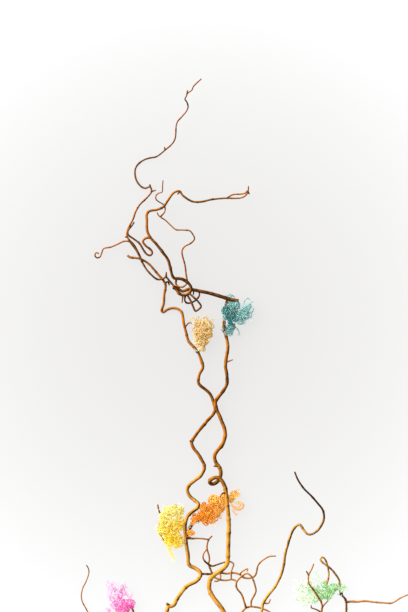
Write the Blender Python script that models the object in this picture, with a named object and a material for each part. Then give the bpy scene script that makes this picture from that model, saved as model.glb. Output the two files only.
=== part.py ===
"""Curly willow branch, cut and lying on a surface, with six tufts of curly dyed wool tied to it.

A branch of two winding stems and many thin twigs is one grown piece. A second twig, cut at both ends,
hooks over the left stem and lies on the tip of the right one. Each tuft of wool is held by a few turns
of wire. Run with blender --background --python part.py, or from the Text Editor.
"""

import math
import random

import bmesh
import bpy
from mathutils import Vector

# Driving dimensions, in metres: 1.6 mm to a grid square
BRANCH_LENGTH = 1.049
GRID_ROWS_OF_BRANCH = 655.5
GRID = BRANCH_LENGTH / GRID_ROWS_OF_BRANCH
GRID_MIDDLE = (244.5, 407.25)
MM = 0.001

ROUTE_STEP = 0.002
STEM_SAG = 0.0006
TWIG_SAG = 0.0008
STEM_SIDES = 8
TWIG_SIDES = 6
FINE_SIDES = 4
FLOOR_CUT_SIZE = (1.2, 1.4, 0.02)
WELD_DISTANCE = 1e-6
SHARP_ANGLE = 50
NEAR_TUFT = 0.006

WOOL_GAP = 0.0004
WIRE_RADIUS = 0.00045
WIRE_PITCH = 0.0016
WIRE_GAP = 0.0003
WIRE_TURNS = 2.25
WIRE_POINTS_A_TURN = 7

# Shares of a tuft's half width
CORE_SHARE = 0.25
CORE_CURL = 0.31
LOCK_CURL = (0.34, 0.44)
CORE_TURN = 0.020
CORE_POINTS_A_TURN = 6
LOCK_ROOT_RADIUS = 0.0024
LOCK_TIP_RADIUS = 0.0015
LOCK_POINTS_A_TURN = 7
LOCK_POINTS = 9
LOCK_ADVANCE = 0.0060
WISP_RADII = (0.0018, 0.0010)
WISP_SAG = 0.0006
WOOL_KEPT = 0.56
WOOD_KEPT = 0.86

COLLECTION_NAME = "Curly willow branch"

# A stem or twig is (radii, route). The radii are in millimetres, evenly spaced from root to tip. The
# route's points are (across, down, height): squares of a grid laid over the branch, GRID wide, counted from
# its upper left, and the height of the stem's middle above the surface in millimetres.
RIGHT_STEM = (
    [5.4, 4.8, 4.0, 3.5, 3.4, 3.3, 3.1, 2.9, 2.8, 2.7, 2.5, 2.3, 2.1],
    [(230, 735, 4.8), (229, 720, 4.8), (226, 704, 5.0), (223, 690, 6), (224, 677, 7.5), (229, 663, 9.5),
     (234, 648, 12), (233, 634, 14), (228, 621, 15.5), (223.3, 611.5, 16), (220.3, 606.6, 16),
     (215.4, 600.6, 15), (210.6, 593.3, 13), (209.1, 587.3, 12), (210, 580.6, 11), (213.6, 575.7, 11),
     (219.1, 572.1, 12), (225.1, 567.3, 14), (227.6, 562, 15), (228.2, 549, 18.5), (228.5, 537, 20.5),
     (228.9, 525.6, 22), (228.5, 517.3, 23), (227.7, 509, 24), (226.9, 501.6, 24), (226, 493, 23),
     (224.9, 487.1, 22.5), (223.4, 483.4, 23), (221.4, 480.3, 24), (218.5, 478, 25), (215, 477.6, 25.3),
     (211.4, 479.1, 24), (209.5, 481.5, 21.5), (210.5, 483.5, 19), (213.7, 484, 17), (217.4, 481.7, 15.6),
     (220, 477.5, 15.2), (220.8, 473.7, 16), (220.5, 469.9, 17), (218.8, 466.5, 18), (216.2, 463, 19),
     (214.8, 459.3, 20), (214.8, 455, 21), (217.5, 450.5, 22), (222.5, 444.6, 23), (225.2, 435.1, 22),
     (224.4, 428.5, 20), (221.9, 421.8, 18), (219, 414.8, 16), (216.9, 410.2, 14.8), (215.7, 405.7, 14.2),
     (215.7, 401.5, 14.2), (218.2, 397.4, 15), (222.3, 392.4, 17), (226.1, 386.2, 19), (227.1, 382.5, 20),
     (226.9, 375, 21), (225.6, 366.8, 22), (226.2, 358.7, 22), (227.9, 347.2, 21), (226.6, 338.1, 19),
     (224.5, 329.8, 17.5), (224.2, 320, 16.5), (225.3, 310, 16), (226.4, 303, 15.4), (226.7, 299, 15)],
)
LEFT_STEM = (
    [3.9, 3.6, 3.2, 2.9, 2.8, 2.7, 2.5, 2.4, 2.4, 2.2, 2.0, 1.9, 1.7, 1.5],
    [(223.5, 689, 6.5), (215, 676, 9), (203, 665, 12), (190, 655, 15), (177, 644, 17), (168, 632, 17),
     (165.5, 621, 15), (167, 611, 13.5), (168.3, 606.9, 13), (171, 606.6, 13), (174.3, 604.8, 13.5),
     (175.8, 601.5, 14), (178.2, 597.3, 15), (182.3, 591.5, 16.5), (186.5, 586.6, 18), (191.5, 583.7, 19.5),
     (196.4, 581.2, 20), (199.8, 577.4, 19), (200.6, 574.1, 17.5), (198.5, 570.8, 16), (194.8, 568.3, 15),
     (189.8, 565.8, 15), (188.2, 562, 16), (188.1, 556, 18), (186.8, 548, 20), (185.6, 538, 22.5),
     (185.1, 530, 25), (185.1, 525, 26), (185.9, 520.5, 27), (188.2, 515.4, 27), (192.6, 511.4, 25),
     (197.2, 508.2, 23), (198.3, 504, 21), (194, 500, 19), (189.5, 495.8, 18.5), (187.3, 489.6, 20),
     (190, 484.5, 22), (195.5, 480, 24), (200.8, 475.7, 26), (204.2, 469, 28), (204, 464, 29),
     (202.2, 460.8, 30), (198, 453.5, 30), (194, 448.7, 29), (191.6, 442.8, 27), (193.2, 438.8, 25),
     (195.8, 435.1, 23), (199.5, 430.1, 20), (204.1, 424.8, 17), (208.2, 419.8, 14), (212.4, 415.6, 11),
     (214.7, 411.5, 9.2), (214.9, 407.8, 8.4), (213.8, 403.2, 8.2), (212.4, 399, 9), (210.7, 394.9, 11),
     (207.8, 391.6, 13), (203.7, 388.3, 16), (200, 385.3, 18), (198.3, 382, 19), (199.3, 375, 21),
     (202.9, 367.2, 22), (201.5, 360.9, 22), (199.9, 356.7, 21), (197.4, 351, 20), (193.2, 346.5, 18),
     (188.5, 341.2, 16), (186.9, 336, 15), (185.7, 331, 14), (184.5, 326.8, 13), (183.6, 322.3, 12),
     (182.9, 317, 11), (181.6, 312.1, 9.5), (178.5, 309.4, 8), (174.5, 308.2, 6.2), (170.5, 308.4, 4.4),
     (166.5, 310, 2.6), (163.2, 312.3, 1.6), (161.8, 311.2, 1.5), (162.2, 308, 2.6), (163.6, 303.6, 5),
     (164.2, 295, 9), (165.6, 285.5, 13.5), (163.3, 280.5, 15), (157.5, 273.8, 16), (148.6, 263.8, 15.3),
     (139.7, 258.7, 13.6), (129.9, 257.2, 11), (127.4, 255.4, 10.2)],
)
BRANCH_TWIGS = {
    "tall": ([2.0, 1.8, 1.6, 1.5, 1.3, 1.1, 0.8], [
        (233.8, 647, 12), (243, 640, 12), (253, 628, 12), (259, 618, 12), (261.8, 611.2, 12),
        (263.3, 603.5, 13), (268.1, 595.7, 16), (274.9, 587, 21), (280.7, 575.4, 28),
        (283.6, 564.7, 35), (285.1, 553.1, 42), (287.5, 544.3, 47), (290.4, 534.6, 51),
        (294.3, 526.9, 54), (299.1, 523.7, 56), (303, 528.6, 58), (306.9, 532.9, 60), (311.7, 533, 62),
        (317.5, 528.8, 64), (321.9, 522, 66), (323.4, 515.3, 68), (321.9, 508.5, 70),
        (317.5, 502.7, 73), (310.8, 494.9, 77), (303, 487.1, 81), (297.2, 478.4, 85),
        (293.8, 470.2, 88)]),
    "tall_stub": ([1.0, 0.7], [(263.6, 603.3, 13.2), (268.2, 603.6, 15), (270.6, 599.4, 18)]),
    "arch": ([1.6, 1.2, 0.8], [
        (233.2, 631, 14.2), (238, 619, 13), (243.9, 610.3, 12), (248.5, 607.3, 12), (256.6, 607.6, 12),
        (262.5, 609.2, 12.2), (268.2, 611.5, 13), (275, 616, 15), (281, 618, 18)]),
    "low_shoot": ([3.0, 2.4, 2.1, 1.8, 1.7, 1.6, 1.5, 1.3, 1.3], [
        (225.5, 703, 5), (245, 690, 4), (270, 672, 3.6), (300, 655, 3.2), (325, 640, 1.8),
        (336, 630.5, 1.3), (341.5, 624, 1.3), (346, 615, 3), (346.6, 605.2, 7), (345.4, 599.5, 11),
        (341.9, 595.2, 15), (339.6, 589, 19), (339.2, 580.5, 23), (334.4, 572.8, 27),
        (329.9, 567.8, 30), (325.4, 564.6, 32), (321.8, 561.6, 33), (320.2, 559, 33),
        (321.8, 557, 32.5), (324.2, 558.1, 31), (326.1, 561.3, 28.5), (327.6, 566, 25.5),
        (328.8, 574, 22), (328, 580, 20), (326.5, 585, 19)]),
    "edge_twig": ([1.4, 1.2, 1.0, 0.8], [
        (346.4, 602.6, 9), (352, 602, 10), (357.7, 602.2, 12), (365.3, 601.4, 15), (374, 602.3, 18),
        (383.3, 602.9, 21), (392, 602.9, 24), (400.6, 597.7, 28), (408, 594.3, 32)]),
    "mint_front": ([1.8, 1.4, 1.2, 0.8], [
        (305, 652, 3.2), (316, 638, 9), (320.5, 624, 15), (321.6, 611.2, 21), (322.2, 606, 24),
        (320.9, 601.4, 27), (317.1, 595.4, 30), (313.3, 589.4, 32), (309.2, 584.1, 33),
        (308.1, 578.9, 33.5), (308.8, 574, 34), (311.4, 569.1, 35), (313.7, 563.1, 36)]),
    "mint_fork": ([0.9, 0.7], [(308.8, 575.5, 33.9), (307.5, 573, 34.3), (305.8, 570.4, 35)]),
    "mint_right": ([0.9, 0.7], [(321.9, 608, 22.8), (324.5, 604.3, 25), (328.2, 600.2, 28)]),
    "mint_left": ([0.9, 0.8, 0.7], [
        (321, 613, 20), (318.5, 610.8, 21), (314.8, 609, 22), (311.4, 607.8, 23), (311.2, 605, 24)]),
    "pink_twig": ([2.0, 1.6, 1.4, 1.3], [
        (169, 634, 17), (155, 636, 15), (143, 629, 14), (135, 617, 14.5), (131.7, 608, 15.5),
        (127, 602, 17)]),
    "far_left": ([2.0, 1.6, 1.3, 1.1, 1.0, 0.9], [
        (176, 643, 17), (163, 651, 13), (147, 654, 9), (125, 650, 4.5), (103, 638, 1.2),
        (97, 630.8, 0.9), (92, 623, 0.9), (86.8, 611.6, 1.6), (84, 606.5, 2.6), (82, 602.5, 3.5),
        (81, 597, 5), (81.6, 592, 6.5), (83, 587.5, 8), (85.3, 583.1, 9), (87.6, 577.4, 12),
        (88.8, 572.4, 14), (88.2, 568.6, 16), (86.2, 565, 19)]),
    "yellow_back": ([1.4, 1.15, 0.9], [
        (186.4, 542, 21.5), (180, 544.2, 19.5), (173.5, 544.9, 17.5), (166.3, 542.7, 14),
        (162.5, 539.4, 12.5), (160.1, 534.5, 12), (159.3, 525.5, 14), (160.6, 516.5, 18),
        (158.6, 509.6, 21), (157.6, 504.3, 24)]),
    "orange_shoot": ([2.1, 1.9, 1.2], [
        (186.2, 537, 22.5), (188.6, 532.5, 24.5), (189.8, 528, 25), (192.8, 524, 24), (199, 519.8, 22)]),
    "cross_stub": ([1.1, 0.8], [(186, 536.9, 23), (188.5, 536.8, 25.4), (191.4, 537.4, 26)]),
    "cross_twig": ([1.1, 0.9], [
        (185.8, 538.6, 22), (192.6, 538.7, 20), (199.3, 538.6, 19), (208.7, 539.6, 18)]),
    "tangle_e": ([1.3, 1.1, 1.0, 0.9], [
        (212.7, 575.5, 11.5), (210, 568.5, 14), (208.5, 564.2, 16), (209.4, 560, 18), (208.8, 555.1, 19),
        (207, 549.1, 19), (207.4, 543.6, 16), (209.3, 539.1, 13.5), (212.3, 536.2, 12.5)]),
    "tangle_e_loop": ([1.1, 0.95, 1.0], [
        (208.6, 564.4, 15.8), (205.1, 561.8, 18), (203, 557.6, 20), (203.9, 553.3, 20.5),
        (207.3, 548.8, 19)]),
    "tangle_d": ([1.1, 1.0, 0.9], [
        (208.7, 565, 15.4), (212.4, 566.4, 13.5), (219.1, 564.4, 9.5), (225.1, 562.6, 8.6),
        (230.5, 562.2, 10), (233.6, 564.4, 12), (232.4, 568.5, 14), (231.2, 572.7, 15),
        (231.2, 579.6, 15.2)]),
    "tangle_a": ([1.5, 1.3, 1.2, 1.1, 1.0, 0.8], [
        (199.5, 574.3, 17.8), (203.5, 574.3, 13), (207.5, 574.6, 8), (212, 574.6, 5.6),
        (217, 574, 5.4), (222, 573.6, 6), (226.4, 574.2, 8), (232.4, 573.3, 10.5), (236, 573.6, 12.5),
        (239.7, 574.8, 14.5), (242.7, 577.4, 16), (248.2, 578.5, 18.5), (252.4, 577.6, 21),
        (255.4, 575.1, 24), (256.6, 571.5, 28), (257.6, 566.1, 33), (259.7, 562.4, 37),
        (263.9, 558.8, 41), (269.4, 555.8, 44), (276, 555.4, 46)]),
    "tangle_b": ([1.2, 1.0], [
        (212.6, 576.2, 12), (217.9, 579.4, 14), (225.1, 580.7, 15), (232.4, 579.8, 15.5),
        (237, 581.6, 17.4)]),
    "tangle_f": ([1.0, 0.8], [
        (219, 572.8, 13), (220.6, 576, 17), (219.8, 579.6, 19.5), (217.5, 581.3, 20.5),
        (214, 581.2, 21.5)]),
    "tangle_c": ([1.2, 1.2, 1.1, 1.1, 1.1], [
        (246.2, 608.8, 12), (244.5, 603, 14), (241.5, 594.5, 16), (237.6, 589.7, 17), (236.1, 586, 17.4),
        (236.9, 581.8, 18), (240, 578, 20), (243.3, 575.1, 22), (247, 573.5, 24), (250.4, 575.4, 26),
        (253, 579.4, 26), (254.8, 584.8, 24), (256, 591, 20.5), (253.9, 596.3, 17), (251.4, 601.2, 14),
        (251.2, 607.8, 12)]),
    "tangle_g": ([0.9, 0.7], [
        (239.9, 575.3, 14.5), (241.3, 572.5, 18), (243.8, 570.6, 21), (247.6, 568.6, 26),
        (247, 571.5, 28)]),
    "cream_curl": ([0.9, 0.7], [
        (184.8, 328, 13.4), (186.3, 325.6, 16), (188.3, 323.3, 19), (190.1, 322.6, 21),
        (191.8, 323.5, 22)]),
    "elbow_hook": ([1.0, 0.9], [
        (165.2, 284.4, 13.8), (166.3, 282.2, 11.6), (168, 282, 9.5), (169.3, 285.4, 7.5)]),
    "small_twig": ([0.9, 0.6], [(226.6, 361.8, 22), (230, 360.8, 24), (233, 359.6, 25)]),
    "dark_stub": ([1.3, 0.8, 0.6], [
        (226.2, 493.6, 23), (223.4, 492.9, 26), (221.1, 494.7, 27.5), (220.2, 497.6, 28)]),
    "bud_left": ([1.5, 0.8], [(192, 442.4, 27), (189.5, 440.2, 28.6)]),
    "bud_right": ([1.5, 0.8], [(217.4, 465.9, 18.5), (213.3, 466.2, 20)]),
    "bud_low": ([2.3, 1.4], [(169, 606.4, 13), (166.2, 603.2, 15)]),
}

CROWN_ROD = (
    [2.7, 2.7, 2.6, 2.4, 2.1],
    [(238.6, 301, 21.2), (230.7, 299.5, 20.8), (222.4, 297, 20.5), (210, 293.3, 20.4), (200, 291.2, 20.2),
     (192, 289.6, 19.6), (188.5, 289.3, 19.2), (185.2, 290.6, 19.2), (182.1, 291.2, 19.7),
     (178.6, 289.2, 21.2), (174.8, 286.9, 23.2), (172.4, 286.3, 24.3)],
)
CROWN_TWIGS = {
    "ring_stem": ([2.2, 2.3, 2.2, 2.1, 2.0, 1.9, 1.7, 1.5, 1.3, 1.1, 0.9], [
        (173.6, 287.2, 24.4), (177, 290.1, 25.2), (178.6, 293.1, 25.6), (181.3, 294.7, 25.6),
        (184.8, 294.9, 25.5), (188, 293.9, 25.5), (190.3, 291.4, 25.6), (191.1, 287.9, 25.6),
        (189.4, 284.3, 25.6), (185.9, 281.2, 25.5), (182.1, 279.2, 25.5), (177.7, 278.5, 25.6),
        (174.3, 278.3, 26), (172.3, 275.4, 26.6), (170.4, 268.2, 28.5), (168.1, 260, 31),
        (163.1, 252.8, 33.5), (156.4, 244.2, 36.5), (150.2, 237.3, 38), (147.2, 230.3, 38.3),
        (146.9, 220.2, 36.5), (146.7, 215, 34.5), (149.4, 211.3, 33.5), (157, 209.8, 33),
        (163.6, 206.8, 33.5), (168, 200.5, 35), (173.5, 193.2, 36.5), (179.2, 191.5, 37),
        (183.4, 196.2, 36), (192.1, 201.5, 33), (201.1, 201.9, 30), (211.1, 199.7, 28),
        (224.5, 198.3, 26), (239, 198.2, 27), (244.6, 196.3, 29), (247.8, 192.3, 32),
        (248.4, 186.2, 35)]),
    "side_shoot": ([0.9, 0.85], [
        (226.8, 198.3, 26), (232.3, 194.9, 27.5), (241.3, 194.1, 29), (245.2, 193.2, 30.5),
        (247.4, 190.5, 32.6)]),
    "elbow_stub": ([0.9, 0.6], [(179.6, 192.2, 37), (177.2, 194.8, 38.8)]),
    "tip_spur": ([0.8, 0.6], [(247.9, 191.8, 32.2), (249.5, 194.6, 32.6)]),
    "inner_curl": ([1.3, 1.2, 0.9], [
        (176.3, 278.8, 25.8), (175.9, 283.6, 24.6), (177.8, 286.4, 26), (181, 287.2, 27.2),
        (184.2, 286.3, 27.4), (187, 283.3, 26.5)]),
    "ring_stub": ([0.9, 0.7], [(182.8, 295.4, 25.4), (182, 303, 24)]),
    "round_loop": ([1.2, 1.1, 1.0], [
        (185.3, 295.2, 25.2), (184.8, 300.6, 24), (187, 303, 23), (190, 303, 22), (194.2, 301.3, 21),
        (197.5, 298.4, 20), (199.4, 295.2, 19), (199.2, 291.8, 19.4)]),
    "long_loop": ([1.3, 1.2, 1.2], [
        (187, 294.4, 25.8), (191.1, 301.7, 27), (193.3, 307, 28), (195.4, 311.1, 28.5),
        (198, 309.8, 28.6), (201, 306.9, 28.5), (200.3, 304.3, 28.3), (195.5, 299, 27.5),
        (189.4, 293.6, 25.8)]),
    "rod_stub": ([0.9, 0.7], [(193.5, 290.6, 20), (193.5, 294.9, 19)]),
    "s_hook": ([1.3, 1.1, 1.0, 0.7], [
        (150.4, 237.4, 38), (145.5, 238.5, 36), (142.9, 241.4, 34.5), (145.8, 245.9, 33.5),
        (150.6, 249.6, 33.5), (152.3, 253, 34), (150.3, 255.5, 34), (146.6, 254.1, 33),
        (143, 249.2, 31), (139.7, 243.7, 29), (134.1, 239.2, 27), (128.3, 234.9, 25.5),
        (128, 231, 25.5), (131.9, 225.8, 26), (134.3, 222, 27)]),
    "long_dark": ([1.3, 1.25, 1.15, 1.05, 0.95, 0.8], [
        (174.6, 286.9, 23.4), (169.6, 281.2, 21.5), (166, 277.2, 19.5), (163.1, 278.8, 18.6),
        (157.5, 279.4, 18.4), (152, 275.5, 19.6), (146.4, 269.3, 18.6), (141.9, 261.5, 16.9),
        (137.5, 252.6, 17), (133, 245.9, 17.5), (129.1, 241.6, 18), (123.5, 241.4, 18),
        (118.5, 243.7, 17), (110.7, 247, 15), (103.4, 248.6, 13), (101.5, 253, 12), (99.7, 257, 12),
        (96.4, 257.6, 12.6), (94.7, 254.9, 13.8), (96.3, 252.6, 15.4), (98.9, 253.8, 17)]),
    "dark_bud": ([1.4, 0.9], [(166, 277.8, 19.8), (166.3, 271.9, 21.5)]),
    "top_twig": ([1.25, 1.2, 1.15, 1.1, 1.0, 0.9, 0.8, 0.7], [
        (142.2, 262.2, 17), (140.2, 257, 18.2), (137, 250.2, 20.2), (133, 243.8, 21.6),
        (128.7, 239.4, 21.8), (126.9, 236, 21.4), (127.2, 231.4, 20.5), (129.6, 225.8, 20),
        (133, 219.1, 18), (135.2, 212.4, 16), (139.7, 204.6, 13), (147.5, 196.8, 10),
        (151.3, 191.6, 8), (151, 188.2, 7.4), (149.5, 186.5, 7), (145.5, 188, 6), (142.2, 187.1, 5),
        (138.9, 184.2, 4), (136, 179.5, 2.4), (134.8, 173.6, 0.9), (135.2, 168.3, 0.8),
        (138.1, 163.7, 1.4), (143, 160, 3), (148.8, 157.9, 6), (155.5, 156.7, 9), (159.6, 154.4, 12),
        (165.4, 149.6, 16), (172.1, 143.8, 20), (175, 138.8, 23), (175.8, 133, 26), (176, 127.2, 28),
        (177.5, 121.8, 30), (182, 116.8, 33), (186.4, 111.5, 36), (188.1, 107.3, 38), (187, 102.8, 40),
        (185, 99.6, 42), (186.2, 97, 44), (187.3, 94.1, 45), (189.3, 92.6, 46.5), (191.8, 90.8, 48),
        (193.6, 87, 50), (201.5, 79.5, 54)]),
    "top_stub": ([0.9, 0.6], [(151.2, 191.4, 8), (156, 189.9, 9)]),
    "top_bud_low": ([1.1, 0.7], [(127.3, 236.4, 21.4), (124.7, 237.3, 22.4)]),
    "top_bud_peak": ([1.1, 0.7], [(150, 187, 7.1), (149.8, 183.8, 7.6)]),
    "top_bud_mid": ([0.9, 0.6], [(165.2, 149.8, 15.9), (164.2, 146.7, 17)]),
    "top_bud_high": ([0.9, 0.7], [(187.2, 94.4, 45), (187.5, 90.6, 46)]),
    "thin_twig": ([1.1, 1.0, 0.9, 0.8, 0.7], [
        (187.4, 282.4, 25.4), (186.2, 275, 27), (184.9, 264.9, 29), (182.3, 255, 32),
        (182.2, 250.3, 33.5), (184.6, 246.7, 35), (191, 243.2, 37), (194.5, 239, 38.5),
        (192.8, 234.5, 39), (189.6, 230.9, 38.5), (183, 230.2, 37), (176, 229.7, 35), (171.3, 226, 33),
        (165.5, 220.4, 31), (160.2, 217, 30), (158.2, 214.9, 30.4), (157.2, 212.4, 31)]),
    "thin_tip": ([0.8, 0.7, 0.6], [
        (160.4, 217, 30), (162.6, 214.6, 29), (164.4, 212.6, 28), (165.2, 209.5, 27.4),
        (164.8, 206.8, 27.4), (163.1, 204.4, 28), (159.6, 202.3, 29), (156.5, 200, 30.5),
        (155.7, 197.2, 31.5), (157, 194.5, 32.5), (159.7, 193, 33.5), (162.2, 192.2, 34.5),
        (162.6, 186.1, 36), (163.1, 180.4, 38)]),
}

# A tuft is its colour, its lobes, locks, loose wisps and tie. The lobes run from one end of its body to the
# other, evenly spaced: (across, down, height, half width in grid squares). The locks are their number. A wisp
# is a route that starts in the body. A tie is the stem that carries the tuft and where its wire goes round.
TUFTS = {
    "cream": {
        "colour": (0.80, 0.62, 0.34),
        "lobes": [(203, 322, 23, 8.5), (204, 331, 23, 9), (203, 340, 22.5, 7), (198.6, 351, 21.5, 5)],
        "locks": 10,
        "wisps": [[(205, 326, 24), (209, 320, 26), (213, 319.4, 25), (214, 322.5, 23)]],
        "tie": ("left_stem", (197.6, 351.4)),
    },
    "teal": {
        "colour": (0.05, 0.42, 0.42),
        "lobes": [(245.5, 313.5, 18, 8.5), (236, 312, 19.5, 8), (227.5, 312, 21.5, 9), (229, 321, 21, 7),
                  (226.8, 331.5, 19.5, 6)],
        "locks": 14,
        "wisps": [[(246, 311, 17), (250.5, 308, 19), (250, 303.5, 21), (253.5, 301, 22)],
                  [(231, 327, 16), (236, 328.5, 14), (240, 333, 13)]],
        "tie": ("right_stem", (224.9, 331.0)),
    },
    "yellow": {
        "colour": (0.86, 0.76, 0.12),
        "lobes": [(178.6, 543.2, 19.6, 4.5), (171.5, 534, 26, 9), (171.5, 523.5, 27.5, 10),
                  (175, 513, 28, 9)],
        "locks": 11,
        "wisps": [[(170, 538, 26), (168, 546, 25), (170.5, 553, 24), (173.6, 557, 23), (173.4, 562.5, 22)]],
        "tie": ("yellow_back", (177.6, 544.6)),
    },
    "orange": {
        "colour": (0.86, 0.42, 0.12),
        "lobes": [(198, 519.5, 22, 6.5), (206, 513.5, 20, 8.5), (214, 506.5, 17, 9), (223, 500.5, 13, 7.5),
                  (233, 499, 11.5, 6)],
        "locks": 12,
        "wisps": [[(231, 501, 12), (233, 506.5, 13), (238, 509, 14), (242.6, 507, 15), (242, 503.4, 15),
                   (237.5, 503.6, 14)],
                  [(231, 496, 12), (232.5, 491, 13), (237, 489.6, 14), (239.6, 493, 15), (236.8, 495.8, 15)]],
        "tie": ("orange_shoot", (192.4, 524.6)),
    },
    "pink": {
        "colour": (0.85, 0.12, 0.50),
        "lobes": [(131, 607.5, 16, 7), (125.5, 603.5, 17, 9), (119, 597.5, 17, 9.5),
                  (112.5, 589.5, 17, 8.5)],
        "locks": 10,
        "wisps": [[(112, 589, 18), (107.4, 587, 19), (106.6, 580.5, 20), (109.6, 578.6, 21)],
                  [(118, 589, 17), (124, 585.6, 16), (128.4, 588, 15)]],
        "tie": ("pink_twig", (131.4, 607.4)),
    },
    "mint": {
        "colour": (0.45, 0.75, 0.55),
        "lobes": [(341, 593, 17.5, 7.5), (329.5, 592, 18, 9), (317, 592, 16.5, 9), (304, 593, 17, 9)],
        "locks": 12,
        "wisps": [[(320, 589, 19), (317, 580, 22), (311.5, 576.5, 23), (313, 572.4, 24)]],
        "tie": ("low_shoot", (341.4, 594.0)),
    },
}

# Linear colour, roughness and metalness of the rest
BARK = ((0.33, 0.17, 0.055), 0.6, 0.0)
DARK_BARK = ((0.20, 0.09, 0.035), 0.65, 0.0)
TIE_WIRE = ((0.62, 0.62, 0.60), 0.35, 1.0)
WOOL_ROUGHNESS = 0.9


def clear_scene():
    """Remove the objects and collections that Blender starts with."""
    for thing in list(bpy.data.objects):
        bpy.data.objects.remove(thing, do_unlink=True)
    for group in list(bpy.data.collections):
        bpy.data.collections.remove(group)


def new_collection(name):
    """A collection linked to the scene."""
    group = bpy.data.collections.new(name)
    bpy.context.scene.collection.children.link(group)
    return group


def material(name, colour, roughness, metallic):
    """A Principled material of one colour."""
    made = bpy.data.materials.new(name)
    made.use_nodes = True
    shader = made.node_tree.nodes["Principled BSDF"]
    shader.inputs["Base Color"].default_value = (*colour, 1)
    shader.inputs["Roughness"].default_value = roughness
    shader.inputs["Metallic"].default_value = metallic
    return made


def place(across, down, height):
    """A grid point and a height in millimetres, as a point in metres round the branch's middle."""
    return Vector(((across - GRID_MIDDLE[0]) * GRID, (GRID_MIDDLE[1] - down) * GRID, height * MM))


def smooth_route(points, step):
    """Points about a step apart on one smooth curve through the given ones."""
    spans = [(b - a).length for a, b in zip(points, points[1:])]
    slopes = [(points[1] - points[0]) / spans[0]]
    for i in range(1, len(points) - 1):
        slopes.append((points[i + 1] - points[i - 1]) / (spans[i - 1] + spans[i]))
    slopes.append((points[-1] - points[-2]) / spans[-1])
    route = [points[0]]
    for i, span in enumerate(spans):
        pieces = max(1, round(span / step))
        for k in range(1, pieces + 1):
            t = k / pieces
            route.append(
                (1 + 2 * t) * (1 - t) ** 2 * points[i]
                + t * (1 - t) ** 2 * span * slopes[i]
                + t * t * (3 - 2 * t) * points[i + 1]
                - t * t * (1 - t) * span * slopes[i + 1]
            )
    return route


def thinned(route, sag):
    """The points of a route that keep it within a sag of its full shape: few where it is straight."""
    kept = {0, len(route) - 1}
    spans = [(0, len(route) - 1)]
    while spans:
        first, last = spans.pop()
        chord = (route[last] - route[first]).normalized()
        best, where = sag, None
        for i in range(first + 1, last):
            offset = route[i] - route[first]
            away = (offset - offset.dot(chord) * chord).length
            if away > best:
                best, where = away, i
        if where is not None:
            kept.add(where)
            spans += [(first, where), (where, last)]
    return [route[i] for i in sorted(kept)]


def lengths_along(route):
    """Distance from the root at each point of a route."""
    total = [0.0]
    for a, b in zip(route, route[1:]):
        total.append(total[-1] + (b - a).length)
    return total


def radii_along(route, radii):
    """A radius in metres at each point of a route, from evenly spaced ones in millimetres."""
    along = lengths_along(route)
    found = []
    for distance in along:
        where = distance / along[-1] * (len(radii) - 1)
        first = min(int(where), len(radii) - 2)
        share = where - first
        found.append((radii[first] * (1 - share) + radii[first + 1] * share) * MM)
    return found


def tube(name, route, radii, sides, group):
    """A closed tube along a route, as a mesh, with a radius for each point."""
    curve = bpy.data.curves.new(name, "CURVE")
    curve.dimensions = "3D"
    curve.bevel_depth = 1.0
    curve.bevel_resolution = (sides - 4) // 2
    curve.use_fill_caps = True
    spline = curve.splines.new("POLY")
    spline.points.add(len(route) - 1)
    for point, where, radius in zip(spline.points, route, radii):
        point.co = (*where, 1)
        point.radius = radius
    drawn = bpy.data.objects.new(name + "_curve", curve)
    bpy.context.scene.collection.objects.link(drawn)
    depsgraph = bpy.context.evaluated_depsgraph_get()
    mesh = bpy.data.meshes.new_from_object(drawn.evaluated_get(depsgraph))
    mesh.name = name
    close_mesh(mesh)
    made = bpy.data.objects.new(name, mesh)
    made.matrix_world = drawn.matrix_world.copy()
    group.objects.link(made)
    bpy.data.objects.remove(drawn)
    bpy.data.curves.remove(curve)
    return made


def close_mesh(mesh):
    """Weld the caps of a tube to its sides and split every face into triangles."""
    bm = bmesh.new()
    bm.from_mesh(mesh)
    bmesh.ops.remove_doubles(bm, verts=bm.verts, dist=WELD_DISTANCE)
    bmesh.ops.triangulate(bm, faces=bm.faces)
    bmesh.ops.recalc_face_normals(bm, faces=bm.faces)
    bm.to_mesh(mesh)
    bm.free()


def combine(target, group, operation):
    """Join a collection's objects to the target or cut them from it, by one Boolean, and remove them."""
    if not group.objects:
        bpy.data.collections.remove(group)
        return
    boolean = target.modifiers.new(operation.title(), "BOOLEAN")
    boolean.operation = operation
    boolean.operand_type = "COLLECTION"
    boolean.collection = group
    boolean.solver = "EXACT"
    depsgraph = bpy.context.evaluated_depsgraph_get()
    mesh = bpy.data.meshes.new_from_object(target.evaluated_get(depsgraph))
    target.modifiers.clear()
    target.data = mesh
    for used in list(group.objects):
        bpy.data.objects.remove(used, do_unlink=True)
    bpy.data.collections.remove(group)


def keep_main_body(target):
    """Drop loose scraps and fill sealed hollows: only the largest connected shell stays."""
    bm = bmesh.new()
    bm.from_mesh(target.data)
    bmesh.ops.triangulate(bm, faces=bm.faces)
    unseen = set(bm.verts)
    shells = []
    while unseen:
        shell = [unseen.pop()]
        for vert in shell:
            for edge in vert.link_edges:
                other = edge.other_vert(vert)
                if other in unseen:
                    unseen.remove(other)
                    shell.append(other)
        shells.append(shell)
    shells.sort(key=len)
    for shell in shells[:-1]:
        bmesh.ops.delete(bm, geom=shell, context="VERTS")
    bm.to_mesh(target.data)
    bm.free()


def simplify(target, share):
    """Keep a share of the triangles: the slivers where tubes cross go first."""
    decimate = target.modifiers.new("Simplify", "DECIMATE")
    decimate.decimate_type = "COLLAPSE"
    decimate.ratio = share
    decimate.use_collapse_triangulate = True
    depsgraph = bpy.context.evaluated_depsgraph_get()
    mesh = bpy.data.meshes.new_from_object(target.evaluated_get(depsgraph))
    target.modifiers.clear()
    target.data = mesh


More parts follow.
